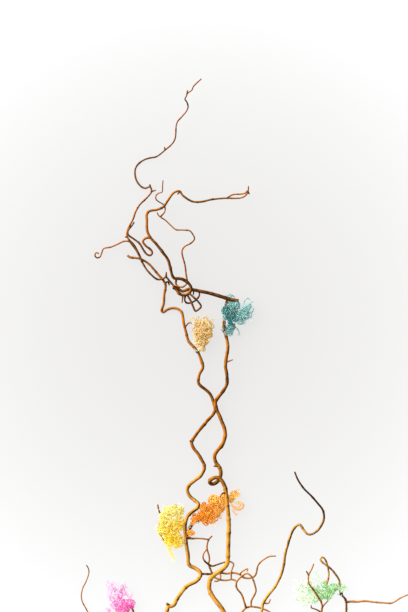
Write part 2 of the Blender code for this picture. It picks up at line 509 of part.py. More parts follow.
def finish(target, made_of):
    """Give a finished piece its material and smooth shading."""
    target.data.materials.clear()
    target.data.materials.append(made_of)
    target.data.shade_smooth()
    target.data.set_sharp_from_angle(angle=math.radians(SHARP_ANGLE))


def floor_block(group):
    """What lies below the surface: it flattens the few low places that the branch rests on."""
    mesh = bpy.data.meshes.new("below_surface")
    bm = bmesh.new()
    bmesh.ops.create_cube(bm, size=1)
    bmesh.ops.scale(bm, vec=FLOOR_CUT_SIZE, verts=bm.verts)
    bmesh.ops.translate(bm, vec=(0, 0, -FLOOR_CUT_SIZE[2] / 2), verts=bm.verts)
    bmesh.ops.triangulate(bm, faces=bm.faces)
    bm.to_mesh(mesh)
    bm.free()
    made = bpy.data.objects.new("below_surface", mesh)
    made.hide_render = True
    made.display_type = "WIRE"
    group.objects.link(made)
    return made


def drawn_routes():
    """Every stem and twig as (smooth route, radii, sides), by name."""
    routes = {}
    stems = {"right_stem": RIGHT_STEM, "left_stem": LEFT_STEM, "crown_rod": CROWN_ROD}
    for name, (radii, points) in {**stems, **BRANCH_TWIGS, **CROWN_TWIGS}.items():
        stout = name in stems or name == "ring_stem"
        route = smooth_route([place(*point) for point in points], ROUTE_STEP)
        route = thinned(route, STEM_SAG if stout else TWIG_SAG)
        routes[name] = (route, radii_along(route, radii), STEM_SIDES if stout else TWIG_SIDES)
    return routes


def grown_piece(name, main, twigs, routes, made_of, group):
    """One node: the main stem with every twig joined to it, flattened where it rests."""
    shoots = new_collection(name + "_shoots")
    stem = tube(name, *routes[main], group)
    for twig in twigs:
        tube(twig, *routes[twig], shoots)
    combine(stem, shoots, "UNION")
    keep_main_body(stem)
    simplify(stem, WOOD_KEPT)
    floor = new_collection(name + "_floor")
    floor_block(floor)
    combine(stem, floor, "DIFFERENCE")
    keep_main_body(stem)
    finish(stem, made_of)
    return stem


def tapered(route, root, tip):
    """Radii along a lock or wisp, from its root to its tip."""
    return [root + (tip - root) * k / (len(route) - 1) for k in range(len(route))]


def corkscrew(lobes, phase):
    """The body of a tuft as one fat curl: its points, and the spine, way out and half width at each."""
    spine = smooth_route([place(*lobe[:3]) for lobe in lobes], CORE_TURN / CORE_POINTS_A_TURN)
    widths = radii_along(spine, [lobe[3] * GRID / MM for lobe in lobes])
    found = []
    for i, middle in enumerate(spine):
        ahead = (spine[min(i + 1, len(spine) - 1)] - spine[max(i - 1, 0)]).normalized()
        side = ahead.cross(Vector((0, 0, 1))).normalized()
        angle = phase + math.tau * i / CORE_POINTS_A_TURN
        outward = math.cos(angle) * side + math.sin(angle) * side.cross(ahead)
        found.append((middle + CORE_CURL * widths[i] * outward, middle, outward, widths[i]))
    return found


def lock_route(spot, outward, width, rng):
    """The middle line of one lock of wool: a loop that rises from the body and curls over to one side."""
    side = outward.orthogonal().normalized()
    lean = rng.uniform(0, math.tau)
    along = math.cos(lean) * side + math.sin(lean) * outward.cross(side)
    across = outward.cross(along)
    curl = width * rng.uniform(*LOCK_CURL)
    middle = spot + (width - curl - LOCK_TIP_RADIUS) * outward
    points = []
    for k in range(LOCK_POINTS):
        angle = math.tau * k / LOCK_POINTS_A_TURN
        advance = LOCK_ADVANCE * (k / (LOCK_POINTS - 1) - 0.5)
        turned = math.sin(angle) * across - math.cos(angle) * outward
        points.append(middle + curl * turned + advance * along)
    return points


def wool_tuft(name, lobes, wisps, locks, seed, group):
    """A head of wool: one fat curl as its body, with looping locks and loose wisps that stand out of it."""
    rng = random.Random(seed)
    pieces = new_collection(name + "_locks")
    body = corkscrew(lobes, rng.uniform(0, math.tau))
    thickness = [CORE_SHARE * spot[3] for spot in body]
    core = tube(name, [spot[0] for spot in body], thickness, TWIG_SIDES, group)
    for k in range(locks):
        _, middle, outward, width = body[round(k * (len(body) - 1) / (locks - 1))]
        route = lock_route(middle, outward, width, rng)
        radii = tapered(route, LOCK_ROOT_RADIUS, LOCK_TIP_RADIUS)
        tube(f"{name}_lock_{k}", route, radii, FINE_SIDES, pieces)
    for number, wisp in enumerate(wisps):
        route = thinned(smooth_route([place(*point) for point in wisp], ROUTE_STEP), WISP_SAG)
        tube(f"{name}_wisp_{number}", route, tapered(route, *WISP_RADII), FINE_SIDES, pieces)
    combine(core, pieces, "UNION")
    keep_main_body(core)
    simplify(core, WOOL_KEPT)
    return core


def nearest_on(route, across, down):
    """The index of a route's point nearest to a place on the grid."""
    target = place(across, down, 0)
    return min(range(len(route)), key=lambda i: (route[i].xy - target.xy).length)


def tie_route(route, radii, middle):
    """The middle line of a few turns of wire round a stem."""
    along = (route[middle + 1] - route[middle - 1]).normalized()
    side = along.orthogonal().normalized()
    other = along.cross(side)
    winding = radii[middle] + WIRE_GAP + WIRE_RADIUS
    count = round(WIRE_TURNS * WIRE_POINTS_A_TURN)
    start = -WIRE_PITCH * WIRE_TURNS / 2
    flare = 1 / math.cos(math.pi / WIRE_POINTS_A_TURN)
    points = []
    for k in range(count + 1):
        angle = math.tau * k / WIRE_POINTS_A_TURN
        offset = along * (start + WIRE_PITCH * k / WIRE_POINTS_A_TURN)
        turned = math.cos(angle) * side + math.sin(angle) * other
        points.append(route[middle] + offset + flare * winding * turned)
    return points


def stretch_near(route, radii, low, high):
    """The runs of a route that pass through a box, each with a point to spare at either end."""
    inside = [all(low[i] < point[i] < high[i] for i in range(3)) for point in route]
    wanted = [any(inside[max(0, i - 1):i + 2]) for i in range(len(route))]
    runs = []
    run = []
    for i, keep in enumerate(wanted + [False]):
        if keep:
            run.append(i)
        elif run:
            runs.append(run)
            run = []
    return [([route[i] for i in run], [radii[i] for i in run]) for run in runs if len(run) > 1]


def cut_clear(tuft, routes, ties):
    """Open the wool round every stem, twig and wire that runs through it."""
    corners = [tuft.matrix_world @ vert.co for vert in tuft.data.vertices]
    low = [min(point[i] for point in corners) - NEAR_TUFT for i in range(3)]
    high = [max(point[i] for point in corners) + NEAR_TUFT for i in range(3)]
    cutters = new_collection(tuft.name + "_clear")
    for name, (route, radii, sides) in routes.items():
        for number, (run, widths) in enumerate(stretch_near(route, radii, low, high)):
            wide = [width + WOOL_GAP for width in widths]
            cutter = tube(f"{name}_room_{number}", run, wide, sides, cutters)
            cutter.hide_render = True
            cutter.display_type = "WIRE"
    for name, (route, radii, middle) in ties.items():
        if all(low[i] < route[middle][i] < high[i] for i in range(3)):
            wide = radii[middle] + 2 * WIRE_RADIUS + WIRE_GAP + 2 * WOOL_GAP
            along = (route[middle + 1] - route[middle - 1]).normalized()
            half = WIRE_PITCH * WIRE_TURNS / 2 + WIRE_RADIUS + 2 * WOOL_GAP
            ends = [route[middle] - half * along, route[middle] + half * along]
            cutter = tube(name + "_room", ends, [wide] * 2, STEM_SIDES, cutters)
            cutter.hide_render = True
            cutter.display_type = "WIRE"
    combine(tuft, cutters, "DIFFERENCE")
    keep_main_body(tuft)


def build():
    """Build every node."""
    clear_scene()
    group = new_collection(COLLECTION_NAME)
    routes = drawn_routes()
    bark = material("bark", *BARK)
    dark_bark = material("dark_bark", *DARK_BARK)
    wire = material("tie_wire", *TIE_WIRE)
    grown_piece("willow_branch", "right_stem", ["left_stem", *BRANCH_TWIGS], routes, bark, group)
    grown_piece("crown_twig", "crown_rod", list(CROWN_TWIGS), routes, dark_bark, group)

    ties = {}
    for colour, tuft in TUFTS.items():
        stem, (across, down) = tuft["tie"]
        route, radii, _ = routes[stem]
        middle = nearest_on(route, across, down)
        ties["tie_" + colour] = (route, radii, middle)
        points = tie_route(route, radii, middle)
        tie = tube("tie_" + colour, points, [WIRE_RADIUS] * len(points), FINE_SIDES, group)
        finish(tie, wire)
    for number, (colour, tuft) in enumerate(TUFTS.items()):
        wool = wool_tuft("wool_" + colour, tuft["lobes"], tuft["wisps"], tuft["locks"], number + 1, group)
        cut_clear(wool, routes, ties)
        finish(wool, material("wool_" + colour, tuft["colour"], WOOL_ROUGHNESS, 0.0))


build()
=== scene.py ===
"""Dresses the curly willow branch: bark with nodes and buds, cut ends, dyed wool, wire ties and a stage.

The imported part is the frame. Each wood node is drawn again along the same routes as smooth tapering shoots,
each tuft as locks of curling strands, and each tie as turns of wire.
"""

import math
import random

import bpy
import numpy as np
from bpy.props import FloatProperty, FloatVectorProperty, IntProperty, PointerProperty
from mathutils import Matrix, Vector


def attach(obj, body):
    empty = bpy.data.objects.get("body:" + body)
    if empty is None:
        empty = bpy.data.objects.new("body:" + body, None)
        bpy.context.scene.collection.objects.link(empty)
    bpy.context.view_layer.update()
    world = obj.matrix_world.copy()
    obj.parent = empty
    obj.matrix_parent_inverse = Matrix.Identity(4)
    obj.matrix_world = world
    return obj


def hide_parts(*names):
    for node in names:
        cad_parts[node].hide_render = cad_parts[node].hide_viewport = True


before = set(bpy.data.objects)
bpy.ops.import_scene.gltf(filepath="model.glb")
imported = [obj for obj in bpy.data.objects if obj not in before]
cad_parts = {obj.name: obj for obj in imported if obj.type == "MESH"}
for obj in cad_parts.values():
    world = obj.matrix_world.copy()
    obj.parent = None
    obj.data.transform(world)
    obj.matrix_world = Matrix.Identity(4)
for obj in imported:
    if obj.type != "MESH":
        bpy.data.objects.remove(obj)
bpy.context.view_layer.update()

bl_info = {
    "name": "Curly Willow Branch",
    "version": (1, 0, 0),
    "blender": (4, 5, 0),
    "location": "View3D > Sidebar > Willow",
    "description": "Bark, buds, curly wool and wire for a cut branch of curly willow",
    "category": "Object",
}

# The grid that the routes are drawn on: metres to a square, and the square over the origin
GRID = 1.049 / 655.5
GRID_MIDDLE = (244.5, 407.25)
MM = 0.001

# A shoot is (radii, route): radii in millimetres, evenly spaced from root to tip, and route points as squares
# across and down the grid and millimetres above the surface.
BRANCH_SHOOTS = {
    "right_stem": ([5.4, 4.8, 4.0, 3.5, 3.4, 3.3, 3.1, 2.9, 2.8, 2.7, 2.5, 2.3, 2.1], [
        (230, 735, 4.8), (229, 720, 4.8), (226, 704, 5.0), (223, 690, 6), (224, 677, 7.5), (229, 663, 9.5),
        (234, 648, 12), (233, 634, 14), (228, 621, 15.5), (223.3, 611.5, 16), (220.3, 606.6, 16),
        (215.4, 600.6, 15), (210.6, 593.3, 13), (209.1, 587.3, 12), (210, 580.6, 11), (213.6, 575.7, 11),
        (219.1, 572.1, 12), (225.1, 567.3, 14), (227.6, 562, 15), (228.2, 549, 18.5), (228.5, 537, 20.5),
        (228.9, 525.6, 22), (228.5, 517.3, 23), (227.7, 509, 24), (226.9, 501.6, 24), (226, 493, 23),
        (224.9, 487.1, 22.5), (223.4, 483.4, 23), (221.4, 480.3, 24), (218.5, 478, 25), (215, 477.6, 25.3),
        (211.4, 479.1, 24), (209.5, 481.5, 21.5), (210.5, 483.5, 19), (213.7, 484, 17), (217.4, 481.7, 15.6),
        (220, 477.5, 15.2), (220.8, 473.7, 16), (220.5, 469.9, 17), (218.8, 466.5, 18), (216.2, 463, 19),
        (214.8, 459.3, 20), (214.8, 455, 21), (217.5, 450.5, 22), (222.5, 444.6, 23), (225.2, 435.1, 22),
        (224.4, 428.5, 20), (221.9, 421.8, 18), (219, 414.8, 16), (216.9, 410.2, 14.8), (215.7, 405.7, 14.2),
        (215.7, 401.5, 14.2), (218.2, 397.4, 15), (222.3, 392.4, 17), (226.1, 386.2, 19), (227.1, 382.5, 20),
        (226.9, 375, 21), (225.6, 366.8, 22), (226.2, 358.7, 22), (227.9, 347.2, 21), (226.6, 338.1, 19),
        (224.5, 329.8, 17.5), (224.2, 320, 16.5), (225.3, 310, 16), (226.4, 303, 15.4), (226.7, 299, 15)]),
    "left_stem": ([3.9, 3.6, 3.2, 2.9, 2.8, 2.7, 2.5, 2.4, 2.4, 2.2, 2.0, 1.9, 1.7, 1.5], [
        (223.5, 689, 6.5), (215, 676, 9), (203, 665, 12), (190, 655, 15), (177, 644, 17), (168, 632, 17),
        (165.5, 621, 15), (167, 611, 13.5), (168.3, 606.9, 13), (171, 606.6, 13), (174.3, 604.8, 13.5),
        (175.8, 601.5, 14), (178.2, 597.3, 15), (182.3, 591.5, 16.5), (186.5, 586.6, 18),
        (191.5, 583.7, 19.5), (196.4, 581.2, 20), (199.8, 577.4, 19), (200.6, 574.1, 17.5),
        (198.5, 570.8, 16), (194.8, 568.3, 15), (189.8, 565.8, 15), (188.2, 562, 16), (188.1, 556, 18),
        (186.8, 548, 20), (185.6, 538, 22.5), (185.1, 530, 25), (185.1, 525, 26), (185.9, 520.5, 27),
        (188.2, 515.4, 27), (192.6, 511.4, 25), (197.2, 508.2, 23), (198.3, 504, 21), (194, 500, 19),
        (189.5, 495.8, 18.5), (187.3, 489.6, 20), (190, 484.5, 22), (195.5, 480, 24), (200.8, 475.7, 26),
        (204.2, 469, 28), (204, 464, 29), (202.2, 460.8, 30), (198, 453.5, 30), (194, 448.7, 29),
        (191.6, 442.8, 27), (193.2, 438.8, 25), (195.8, 435.1, 23), (199.5, 430.1, 20), (204.1, 424.8, 17),
        (208.2, 419.8, 14), (212.4, 415.6, 11), (214.7, 411.5, 9.2), (214.9, 407.8, 8.4), (213.8, 403.2, 8.2),
        (212.4, 399, 9), (210.7, 394.9, 11), (207.8, 391.6, 13), (203.7, 388.3, 16), (200, 385.3, 18),
        (198.3, 382, 19), (199.3, 375, 21), (202.9, 367.2, 22), (201.5, 360.9, 22), (199.9, 356.7, 21),
        (197.4, 351, 20), (193.2, 346.5, 18), (188.5, 341.2, 16), (186.9, 336, 15), (185.7, 331, 14),
        (184.5, 326.8, 13), (183.6, 322.3, 12), (182.9, 317, 11), (181.6, 312.1, 9.5), (178.5, 309.4, 8),
        (174.5, 308.2, 6.2), (170.5, 308.4, 4.4), (166.5, 310, 2.6), (163.2, 312.3, 1.6), (161.8, 311.2, 1.5),
        (162.2, 308, 2.6), (163.6, 303.6, 5), (164.2, 295, 9), (165.6, 285.5, 13.5), (163.3, 280.5, 15),
        (157.5, 273.8, 16), (148.6, 263.8, 15.3), (139.7, 258.7, 13.6), (129.9, 257.2, 11),
        (127.4, 255.4, 10.2)]),
    "tall": ([2.0, 1.8, 1.6, 1.5, 1.3, 1.1, 0.8], [
        (233.8, 647, 12), (243, 640, 12), (253, 628, 12), (259, 618, 12), (261.8, 611.2, 12),
        (263.3, 603.5, 13), (268.1, 595.7, 16), (274.9, 587, 21), (280.7, 575.4, 28), (283.6, 564.7, 35),
        (285.1, 553.1, 42), (287.5, 544.3, 47), (290.4, 534.6, 51), (294.3, 526.9, 54), (299.1, 523.7, 56),
        (303, 528.6, 58), (306.9, 532.9, 60), (311.7, 533, 62), (317.5, 528.8, 64), (321.9, 522, 66),
        (323.4, 515.3, 68), (321.9, 508.5, 70), (317.5, 502.7, 73), (310.8, 494.9, 77), (303, 487.1, 81),
        (297.2, 478.4, 85), (293.8, 470.2, 88)]),
    "tall_stub": ([1.0, 0.7], [(263.6, 603.3, 13.2), (268.2, 603.6, 15), (270.6, 599.4, 18)]),
    "arch": ([1.6, 1.2, 0.8], [
        (233.2, 631, 14.2), (238, 619, 13), (243.9, 610.3, 12), (248.5, 607.3, 12), (256.6, 607.6, 12),
        (262.5, 609.2, 12.2), (268.2, 611.5, 13), (275, 616, 15), (281, 618, 18)]),
    "low_shoot": ([3.0, 2.4, 2.1, 1.8, 1.7, 1.6, 1.5, 1.3, 1.3], [
        (225.5, 703, 5), (245, 690, 4), (270, 672, 3.6), (300, 655, 3.2), (325, 640, 1.8), (336, 630.5, 1.3),
        (341.5, 624, 1.3), (346, 615, 3), (346.6, 605.2, 7), (345.4, 599.5, 11), (341.9, 595.2, 15),
        (339.6, 589, 19), (339.2, 580.5, 23), (334.4, 572.8, 27), (329.9, 567.8, 30), (325.4, 564.6, 32),
        (321.8, 561.6, 33), (320.2, 559, 33), (321.8, 557, 32.5), (324.2, 558.1, 31), (326.1, 561.3, 28.5),
        (327.6, 566, 25.5), (328.8, 574, 22), (328, 580, 20), (326.5, 585, 19)]),
    "edge_twig": ([1.4, 1.2, 1.0, 0.8], [
        (346.4, 602.6, 9), (352, 602, 10), (357.7, 602.2, 12), (365.3, 601.4, 15), (374, 602.3, 18),
        (383.3, 602.9, 21), (392, 602.9, 24), (400.6, 597.7, 28), (408, 594.3, 32)]),
    "mint_front": ([1.8, 1.4, 1.2, 0.8], [
        (305, 652, 3.2), (316, 638, 9), (320.5, 624, 15), (321.6, 611.2, 21), (322.2, 606, 24),
        (320.9, 601.4, 27), (317.1, 595.4, 30), (313.3, 589.4, 32), (309.2, 584.1, 33), (308.1, 578.9, 33.5),
        (308.8, 574, 34), (311.4, 569.1, 35), (313.7, 563.1, 36)]),
    "mint_fork": ([0.9, 0.7], [(308.8, 575.5, 33.9), (307.5, 573, 34.3), (305.8, 570.4, 35)]),
    "mint_right": ([0.9, 0.7], [(321.9, 608, 22.8), (324.5, 604.3, 25), (328.2, 600.2, 28)]),
    "mint_left": ([0.9, 0.8, 0.7], [
        (321, 613, 20), (318.5, 610.8, 21), (314.8, 609, 22), (311.4, 607.8, 23), (311.2, 605, 24)]),
    "pink_twig": ([2.0, 1.6, 1.4, 1.3], [
        (169, 634, 17), (155, 636, 15), (143, 629, 14), (135, 617, 14.5), (131.7, 608, 15.5),
        (127, 602, 17)]),
    "far_left": ([2.0, 1.6, 1.3, 1.1, 1.0, 0.9], [
        (176, 643, 17), (163, 651, 13), (147, 654, 9), (125, 650, 4.5), (103, 638, 1.2), (97, 630.8, 0.9),
        (92, 623, 0.9), (86.8, 611.6, 1.6), (84, 606.5, 2.6), (82, 602.5, 3.5), (81, 597, 5),
        (81.6, 592, 6.5), (83, 587.5, 8), (85.3, 583.1, 9), (87.6, 577.4, 12), (88.8, 572.4, 14),
        (88.2, 568.6, 16), (86.2, 565, 19)]),
    "yellow_back": ([1.4, 1.15, 0.9], [
        (186.4, 542, 21.5), (180, 544.2, 19.5), (173.5, 544.9, 17.5), (166.3, 542.7, 14),
        (162.5, 539.4, 12.5), (160.1, 534.5, 12), (159.3, 525.5, 14), (160.6, 516.5, 18), (158.6, 509.6, 21),
        (157.6, 504.3, 24)]),
    "orange_shoot": ([2.1, 1.9, 1.2], [
        (186.2, 537, 22.5), (188.6, 532.5, 24.5), (189.8, 528, 25), (192.8, 524, 24), (199, 519.8, 22)]),
    "cross_stub": ([1.1, 0.8], [(186, 536.9, 23), (188.5, 536.8, 25.4), (191.4, 537.4, 26)]),
    "cross_twig": ([1.1, 0.9], [
        (185.8, 538.6, 22), (192.6, 538.7, 20), (199.3, 538.6, 19), (208.7, 539.6, 18)]),
    "tangle_e": ([1.3, 1.1, 1.0, 0.9], [
        (212.7, 575.5, 11.5), (210, 568.5, 14), (208.5, 564.2, 16), (209.4, 560, 18), (208.8, 555.1, 19),
        (207, 549.1, 19), (207.4, 543.6, 16), (209.3, 539.1, 13.5), (212.3, 536.2, 12.5)]),
    "tangle_e_loop": ([1.1, 0.95, 1.0], [
        (208.6, 564.4, 15.8), (205.1, 561.8, 18), (203, 557.6, 20), (203.9, 553.3, 20.5),
        (207.3, 548.8, 19)]),
    "tangle_d": ([1.1, 1.0, 0.9], [
        (208.7, 565, 15.4), (212.4, 566.4, 13.5), (219.1, 564.4, 9.5), (225.1, 562.6, 8.6),
        (230.5, 562.2, 10), (233.6, 564.4, 12), (232.4, 568.5, 14), (231.2, 572.7, 15),
        (231.2, 579.6, 15.2)]),
    "tangle_a": ([1.5, 1.3, 1.2, 1.1, 1.0, 0.8], [
        (199.5, 574.3, 17.8), (203.5, 574.3, 13), (207.5, 574.6, 8), (212, 574.6, 5.6), (217, 574, 5.4),
        (222, 573.6, 6), (226.4, 574.2, 8), (232.4, 573.3, 10.5), (236, 573.6, 12.5), (239.7, 574.8, 14.5),
        (242.7, 577.4, 16), (248.2, 578.5, 18.5), (252.4, 577.6, 21), (255.4, 575.1, 24), (256.6, 571.5, 28),
        (257.6, 566.1, 33), (259.7, 562.4, 37), (263.9, 558.8, 41), (269.4, 555.8, 44), (276, 555.4, 46)]),
    "tangle_b": ([1.2, 1.0], [
        (212.6, 576.2, 12), (217.9, 579.4, 14), (225.1, 580.7, 15), (232.4, 579.8, 15.5),
        (237, 581.6, 17.4)]),
    "tangle_f": ([1.0, 0.8], [
        (219, 572.8, 13), (220.6, 576, 17), (219.8, 579.6, 19.5), (217.5, 581.3, 20.5), (214, 581.2, 21.5)]),
    "tangle_c": ([1.2, 1.2, 1.1, 1.1, 1.1], [
        (246.2, 608.8, 12), (244.5, 603, 14), (241.5, 594.5, 16), (237.6, 589.7, 17), (236.1, 586, 17.4),
        (236.9, 581.8, 18), (240, 578, 20), (243.3, 575.1, 22), (247, 573.5, 24), (250.4, 575.4, 26),
        (253, 579.4, 26), (254.8, 584.8, 24), (256, 591, 20.5), (253.9, 596.3, 17), (251.4, 601.2, 14),
        (251.2, 607.8, 12)]),
    "tangle_g": ([0.9, 0.7], [
        (239.9, 575.3, 14.5), (241.3, 572.5, 18), (243.8, 570.6, 21), (247.6, 568.6, 26), (247, 571.5, 28)]),
    "cream_curl": ([0.9, 0.7], [
        (184.8, 328, 13.4), (186.3, 325.6, 16), (188.3, 323.3, 19), (190.1, 322.6, 21), (191.8, 323.5, 22)]),
    "elbow_hook": ([1.0, 0.9], [
        (165.2, 284.4, 13.8), (166.3, 282.2, 11.6), (168, 282, 9.5), (169.3, 285.4, 7.5)]),
    "small_twig": ([0.9, 0.6], [(226.6, 361.8, 22), (230, 360.8, 24), (233, 359.6, 25)]),
    "dark_stub": ([1.3, 0.8, 0.6], [
        (226.2, 493.6, 23), (223.4, 492.9, 26), (221.1, 494.7, 27.5), (220.2, 497.6, 28)]),
    "bud_left": ([1.5, 0.8], [(192, 442.4, 27), (189.5, 440.2, 28.6)]),
    "bud_right": ([1.5, 0.8], [(217.4, 465.9, 18.5), (213.3, 466.2, 20)]),
    "bud_low": ([2.3, 1.4], [(169, 606.4, 13), (166.2, 603.2, 15)]),
}
CROWN_SHOOTS = {
    "crown_rod": ([2.7, 2.7, 2.6, 2.4, 2.1], [
        (238.6, 301, 21.2), (230.7, 299.5, 20.8), (222.4, 297, 20.5), (210, 293.3, 20.4), (200, 291.2, 20.2),
        (192, 289.6, 19.6), (188.5, 289.3, 19.2), (185.2, 290.6, 19.2), (182.1, 291.2, 19.7),
        (178.6, 289.2, 21.2), (174.8, 286.9, 23.2), (172.4, 286.3, 24.3)]),
    "ring_stem": ([2.2, 2.3, 2.2, 2.1, 2.0, 1.9, 1.7, 1.5, 1.3, 1.1, 0.9], [
        (173.6, 287.2, 24.4), (177, 290.1, 25.2), (178.6, 293.1, 25.6), (181.3, 294.7, 25.6),
        (184.8, 294.9, 25.5), (188, 293.9, 25.5), (190.3, 291.4, 25.6), (191.1, 287.9, 25.6),
        (189.4, 284.3, 25.6), (185.9, 281.2, 25.5), (182.1, 279.2, 25.5), (177.7, 278.5, 25.6),
        (174.3, 278.3, 26), (172.3, 275.4, 26.6), (170.4, 268.2, 28.5), (168.1, 260, 31),
        (163.1, 252.8, 33.5), (156.4, 244.2, 36.5), (150.2, 237.3, 38), (147.2, 230.3, 38.3),
        (146.9, 220.2, 36.5), (146.7, 215, 34.5), (149.4, 211.3, 33.5), (157, 209.8, 33),
        (163.6, 206.8, 33.5), (168, 200.5, 35), (173.5, 193.2, 36.5), (179.2, 191.5, 37), (183.4, 196.2, 36),
        (192.1, 201.5, 33), (201.1, 201.9, 30), (211.1, 199.7, 28), (224.5, 198.3, 26), (239, 198.2, 27),
        (244.6, 196.3, 29), (247.8, 192.3, 32), (248.4, 186.2, 35)]),
    "side_shoot": ([0.9, 0.85], [
        (226.8, 198.3, 26), (232.3, 194.9, 27.5), (241.3, 194.1, 29), (245.2, 193.2, 30.5),
        (247.4, 190.5, 32.6)]),
    "elbow_stub": ([0.9, 0.6], [(179.6, 192.2, 37), (177.2, 194.8, 38.8)]),
    "tip_spur": ([0.8, 0.6], [(247.9, 191.8, 32.2), (249.5, 194.6, 32.6)]),
    "inner_curl": ([1.3, 1.2, 0.9], [
        (176.3, 278.8, 25.8), (175.9, 283.6, 24.6), (177.8, 286.4, 26), (181, 287.2, 27.2),
        (184.2, 286.3, 27.4), (187, 283.3, 26.5)]),
    "ring_stub": ([0.9, 0.7], [(182.8, 295.4, 25.4), (182, 303, 24)]),
    "round_loop": ([1.2, 1.1, 1.0], [
        (185.3, 295.2, 25.2), (184.8, 300.6, 24), (187, 303, 23), (190, 303, 22), (194.2, 301.3, 21),
        (197.5, 298.4, 20), (199.4, 295.2, 19), (199.2, 291.8, 19.4)]),
    "long_loop": ([1.3, 1.2, 1.2], [
        (187, 294.4, 25.8), (191.1, 301.7, 27), (193.3, 307, 28), (195.4, 311.1, 28.5), (198, 309.8, 28.6),
        (201, 306.9, 28.5), (200.3, 304.3, 28.3), (195.5, 299, 27.5), (189.4, 293.6, 25.8)]),
    "rod_stub": ([0.9, 0.7], [(193.5, 290.6, 20), (193.5, 294.9, 19)]),
    "s_hook": ([1.3, 1.1, 1.0, 0.7], [
        (150.4, 237.4, 38), (145.5, 238.5, 36), (142.9, 241.4, 34.5), (145.8, 245.9, 33.5),
        (150.6, 249.6, 33.5), (152.3, 253, 34), (150.3, 255.5, 34), (146.6, 254.1, 33), (143, 249.2, 31),
        (139.7, 243.7, 29), (134.1, 239.2, 27), (128.3, 234.9, 25.5), (128, 231, 25.5), (131.9, 225.8, 26),
        (134.3, 222, 27)]),
    "long_dark": ([1.3, 1.25, 1.15, 1.05, 0.95, 0.8], [
        (174.6, 286.9, 23.4), (169.6, 281.2, 21.5), (166, 277.2, 19.5), (163.1, 278.8, 18.6),
        (157.5, 279.4, 18.4), (152, 275.5, 19.6), (146.4, 269.3, 18.6), (141.9, 261.5, 16.9),
        (137.5, 252.6, 17), (133, 245.9, 17.5), (129.1, 241.6, 18), (123.5, 241.4, 18), (118.5, 243.7, 17),
        (110.7, 247, 15), (103.4, 248.6, 13), (101.5, 253, 12), (99.7, 257, 12), (96.4, 257.6, 12.6),
        (94.7, 254.9, 13.8), (96.3, 252.6, 15.4), (98.9, 253.8, 17)]),
    "dark_bud": ([1.4, 0.9], [(166, 277.8, 19.8), (166.3, 271.9, 21.5)]),
    "top_twig": ([1.25, 1.2, 1.15, 1.1, 1.0, 0.9, 0.8, 0.7], [
        (142.2, 262.2, 17), (140.2, 257, 18.2), (137, 250.2, 20.2), (133, 243.8, 21.6), (128.7, 239.4, 21.8),
        (126.9, 236, 21.4), (127.2, 231.4, 20.5), (129.6, 225.8, 20), (133, 219.1, 18), (135.2, 212.4, 16),
        (139.7, 204.6, 13), (147.5, 196.8, 10), (151.3, 191.6, 8), (151, 188.2, 7.4), (149.5, 186.5, 7),
        (145.5, 188, 6), (142.2, 187.1, 5), (138.9, 184.2, 4), (136, 179.5, 2.4), (134.8, 173.6, 0.9),
        (135.2, 168.3, 0.8), (138.1, 163.7, 1.4), (143, 160, 3), (148.8, 157.9, 6), (155.5, 156.7, 9),
        (159.6, 154.4, 12), (165.4, 149.6, 16), (172.1, 143.8, 20), (175, 138.8, 23), (175.8, 133, 26),
        (176, 127.2, 28), (177.5, 121.8, 30), (182, 116.8, 33), (186.4, 111.5, 36), (188.1, 107.3, 38),
        (187, 102.8, 40), (185, 99.6, 42), (186.2, 97, 44), (187.3, 94.1, 45), (189.3, 92.6, 46.5),
        (191.8, 90.8, 48), (193.6, 87, 50), (201.5, 79.5, 54)]),
    "top_stub": ([0.9, 0.6], [(151.2, 191.4, 8), (156, 189.9, 9)]),
    "top_bud_low": ([1.1, 0.7], [(127.3, 236.4, 21.4), (124.7, 237.3, 22.4)]),
    "top_bud_peak": ([1.1, 0.7], [(150, 187, 7.1), (149.8, 183.8, 7.6)]),
    "top_bud_mid": ([0.9, 0.6], [(165.2, 149.8, 15.9), (164.2, 146.7, 17)]),
    "top_bud_high": ([0.9, 0.7], [(187.2, 94.4, 45), (187.5, 90.6, 46)]),
    "thin_twig": ([1.1, 1.0, 0.9, 0.8, 0.7], [
        (187.4, 282.4, 25.4), (186.2, 275, 27), (184.9, 264.9, 29), (182.3, 255, 32), (182.2, 250.3, 33.5),
        (184.6, 246.7, 35), (191, 243.2, 37), (194.5, 239, 38.5), (192.8, 234.5, 39), (189.6, 230.9, 38.5),
        (183, 230.2, 37), (176, 229.7, 35), (171.3, 226, 33), (165.5, 220.4, 31), (160.2, 217, 30),
        (158.2, 214.9, 30.4), (157.2, 212.4, 31)]),
    "thin_tip": ([0.8, 0.7, 0.6], [
        (160.4, 217, 30), (162.6, 214.6, 29), (164.4, 212.6, 28), (165.2, 209.5, 27.4), (164.8, 206.8, 27.4),
        (163.1, 204.4, 28), (159.6, 202.3, 29), (156.5, 200, 30.5), (155.7, 197.2, 31.5), (157, 194.5, 32.5),
        (159.7, 193, 33.5), (162.2, 192.2, 34.5), (162.6, 186.1, 36), (163.1, 180.4, 38)]),
}

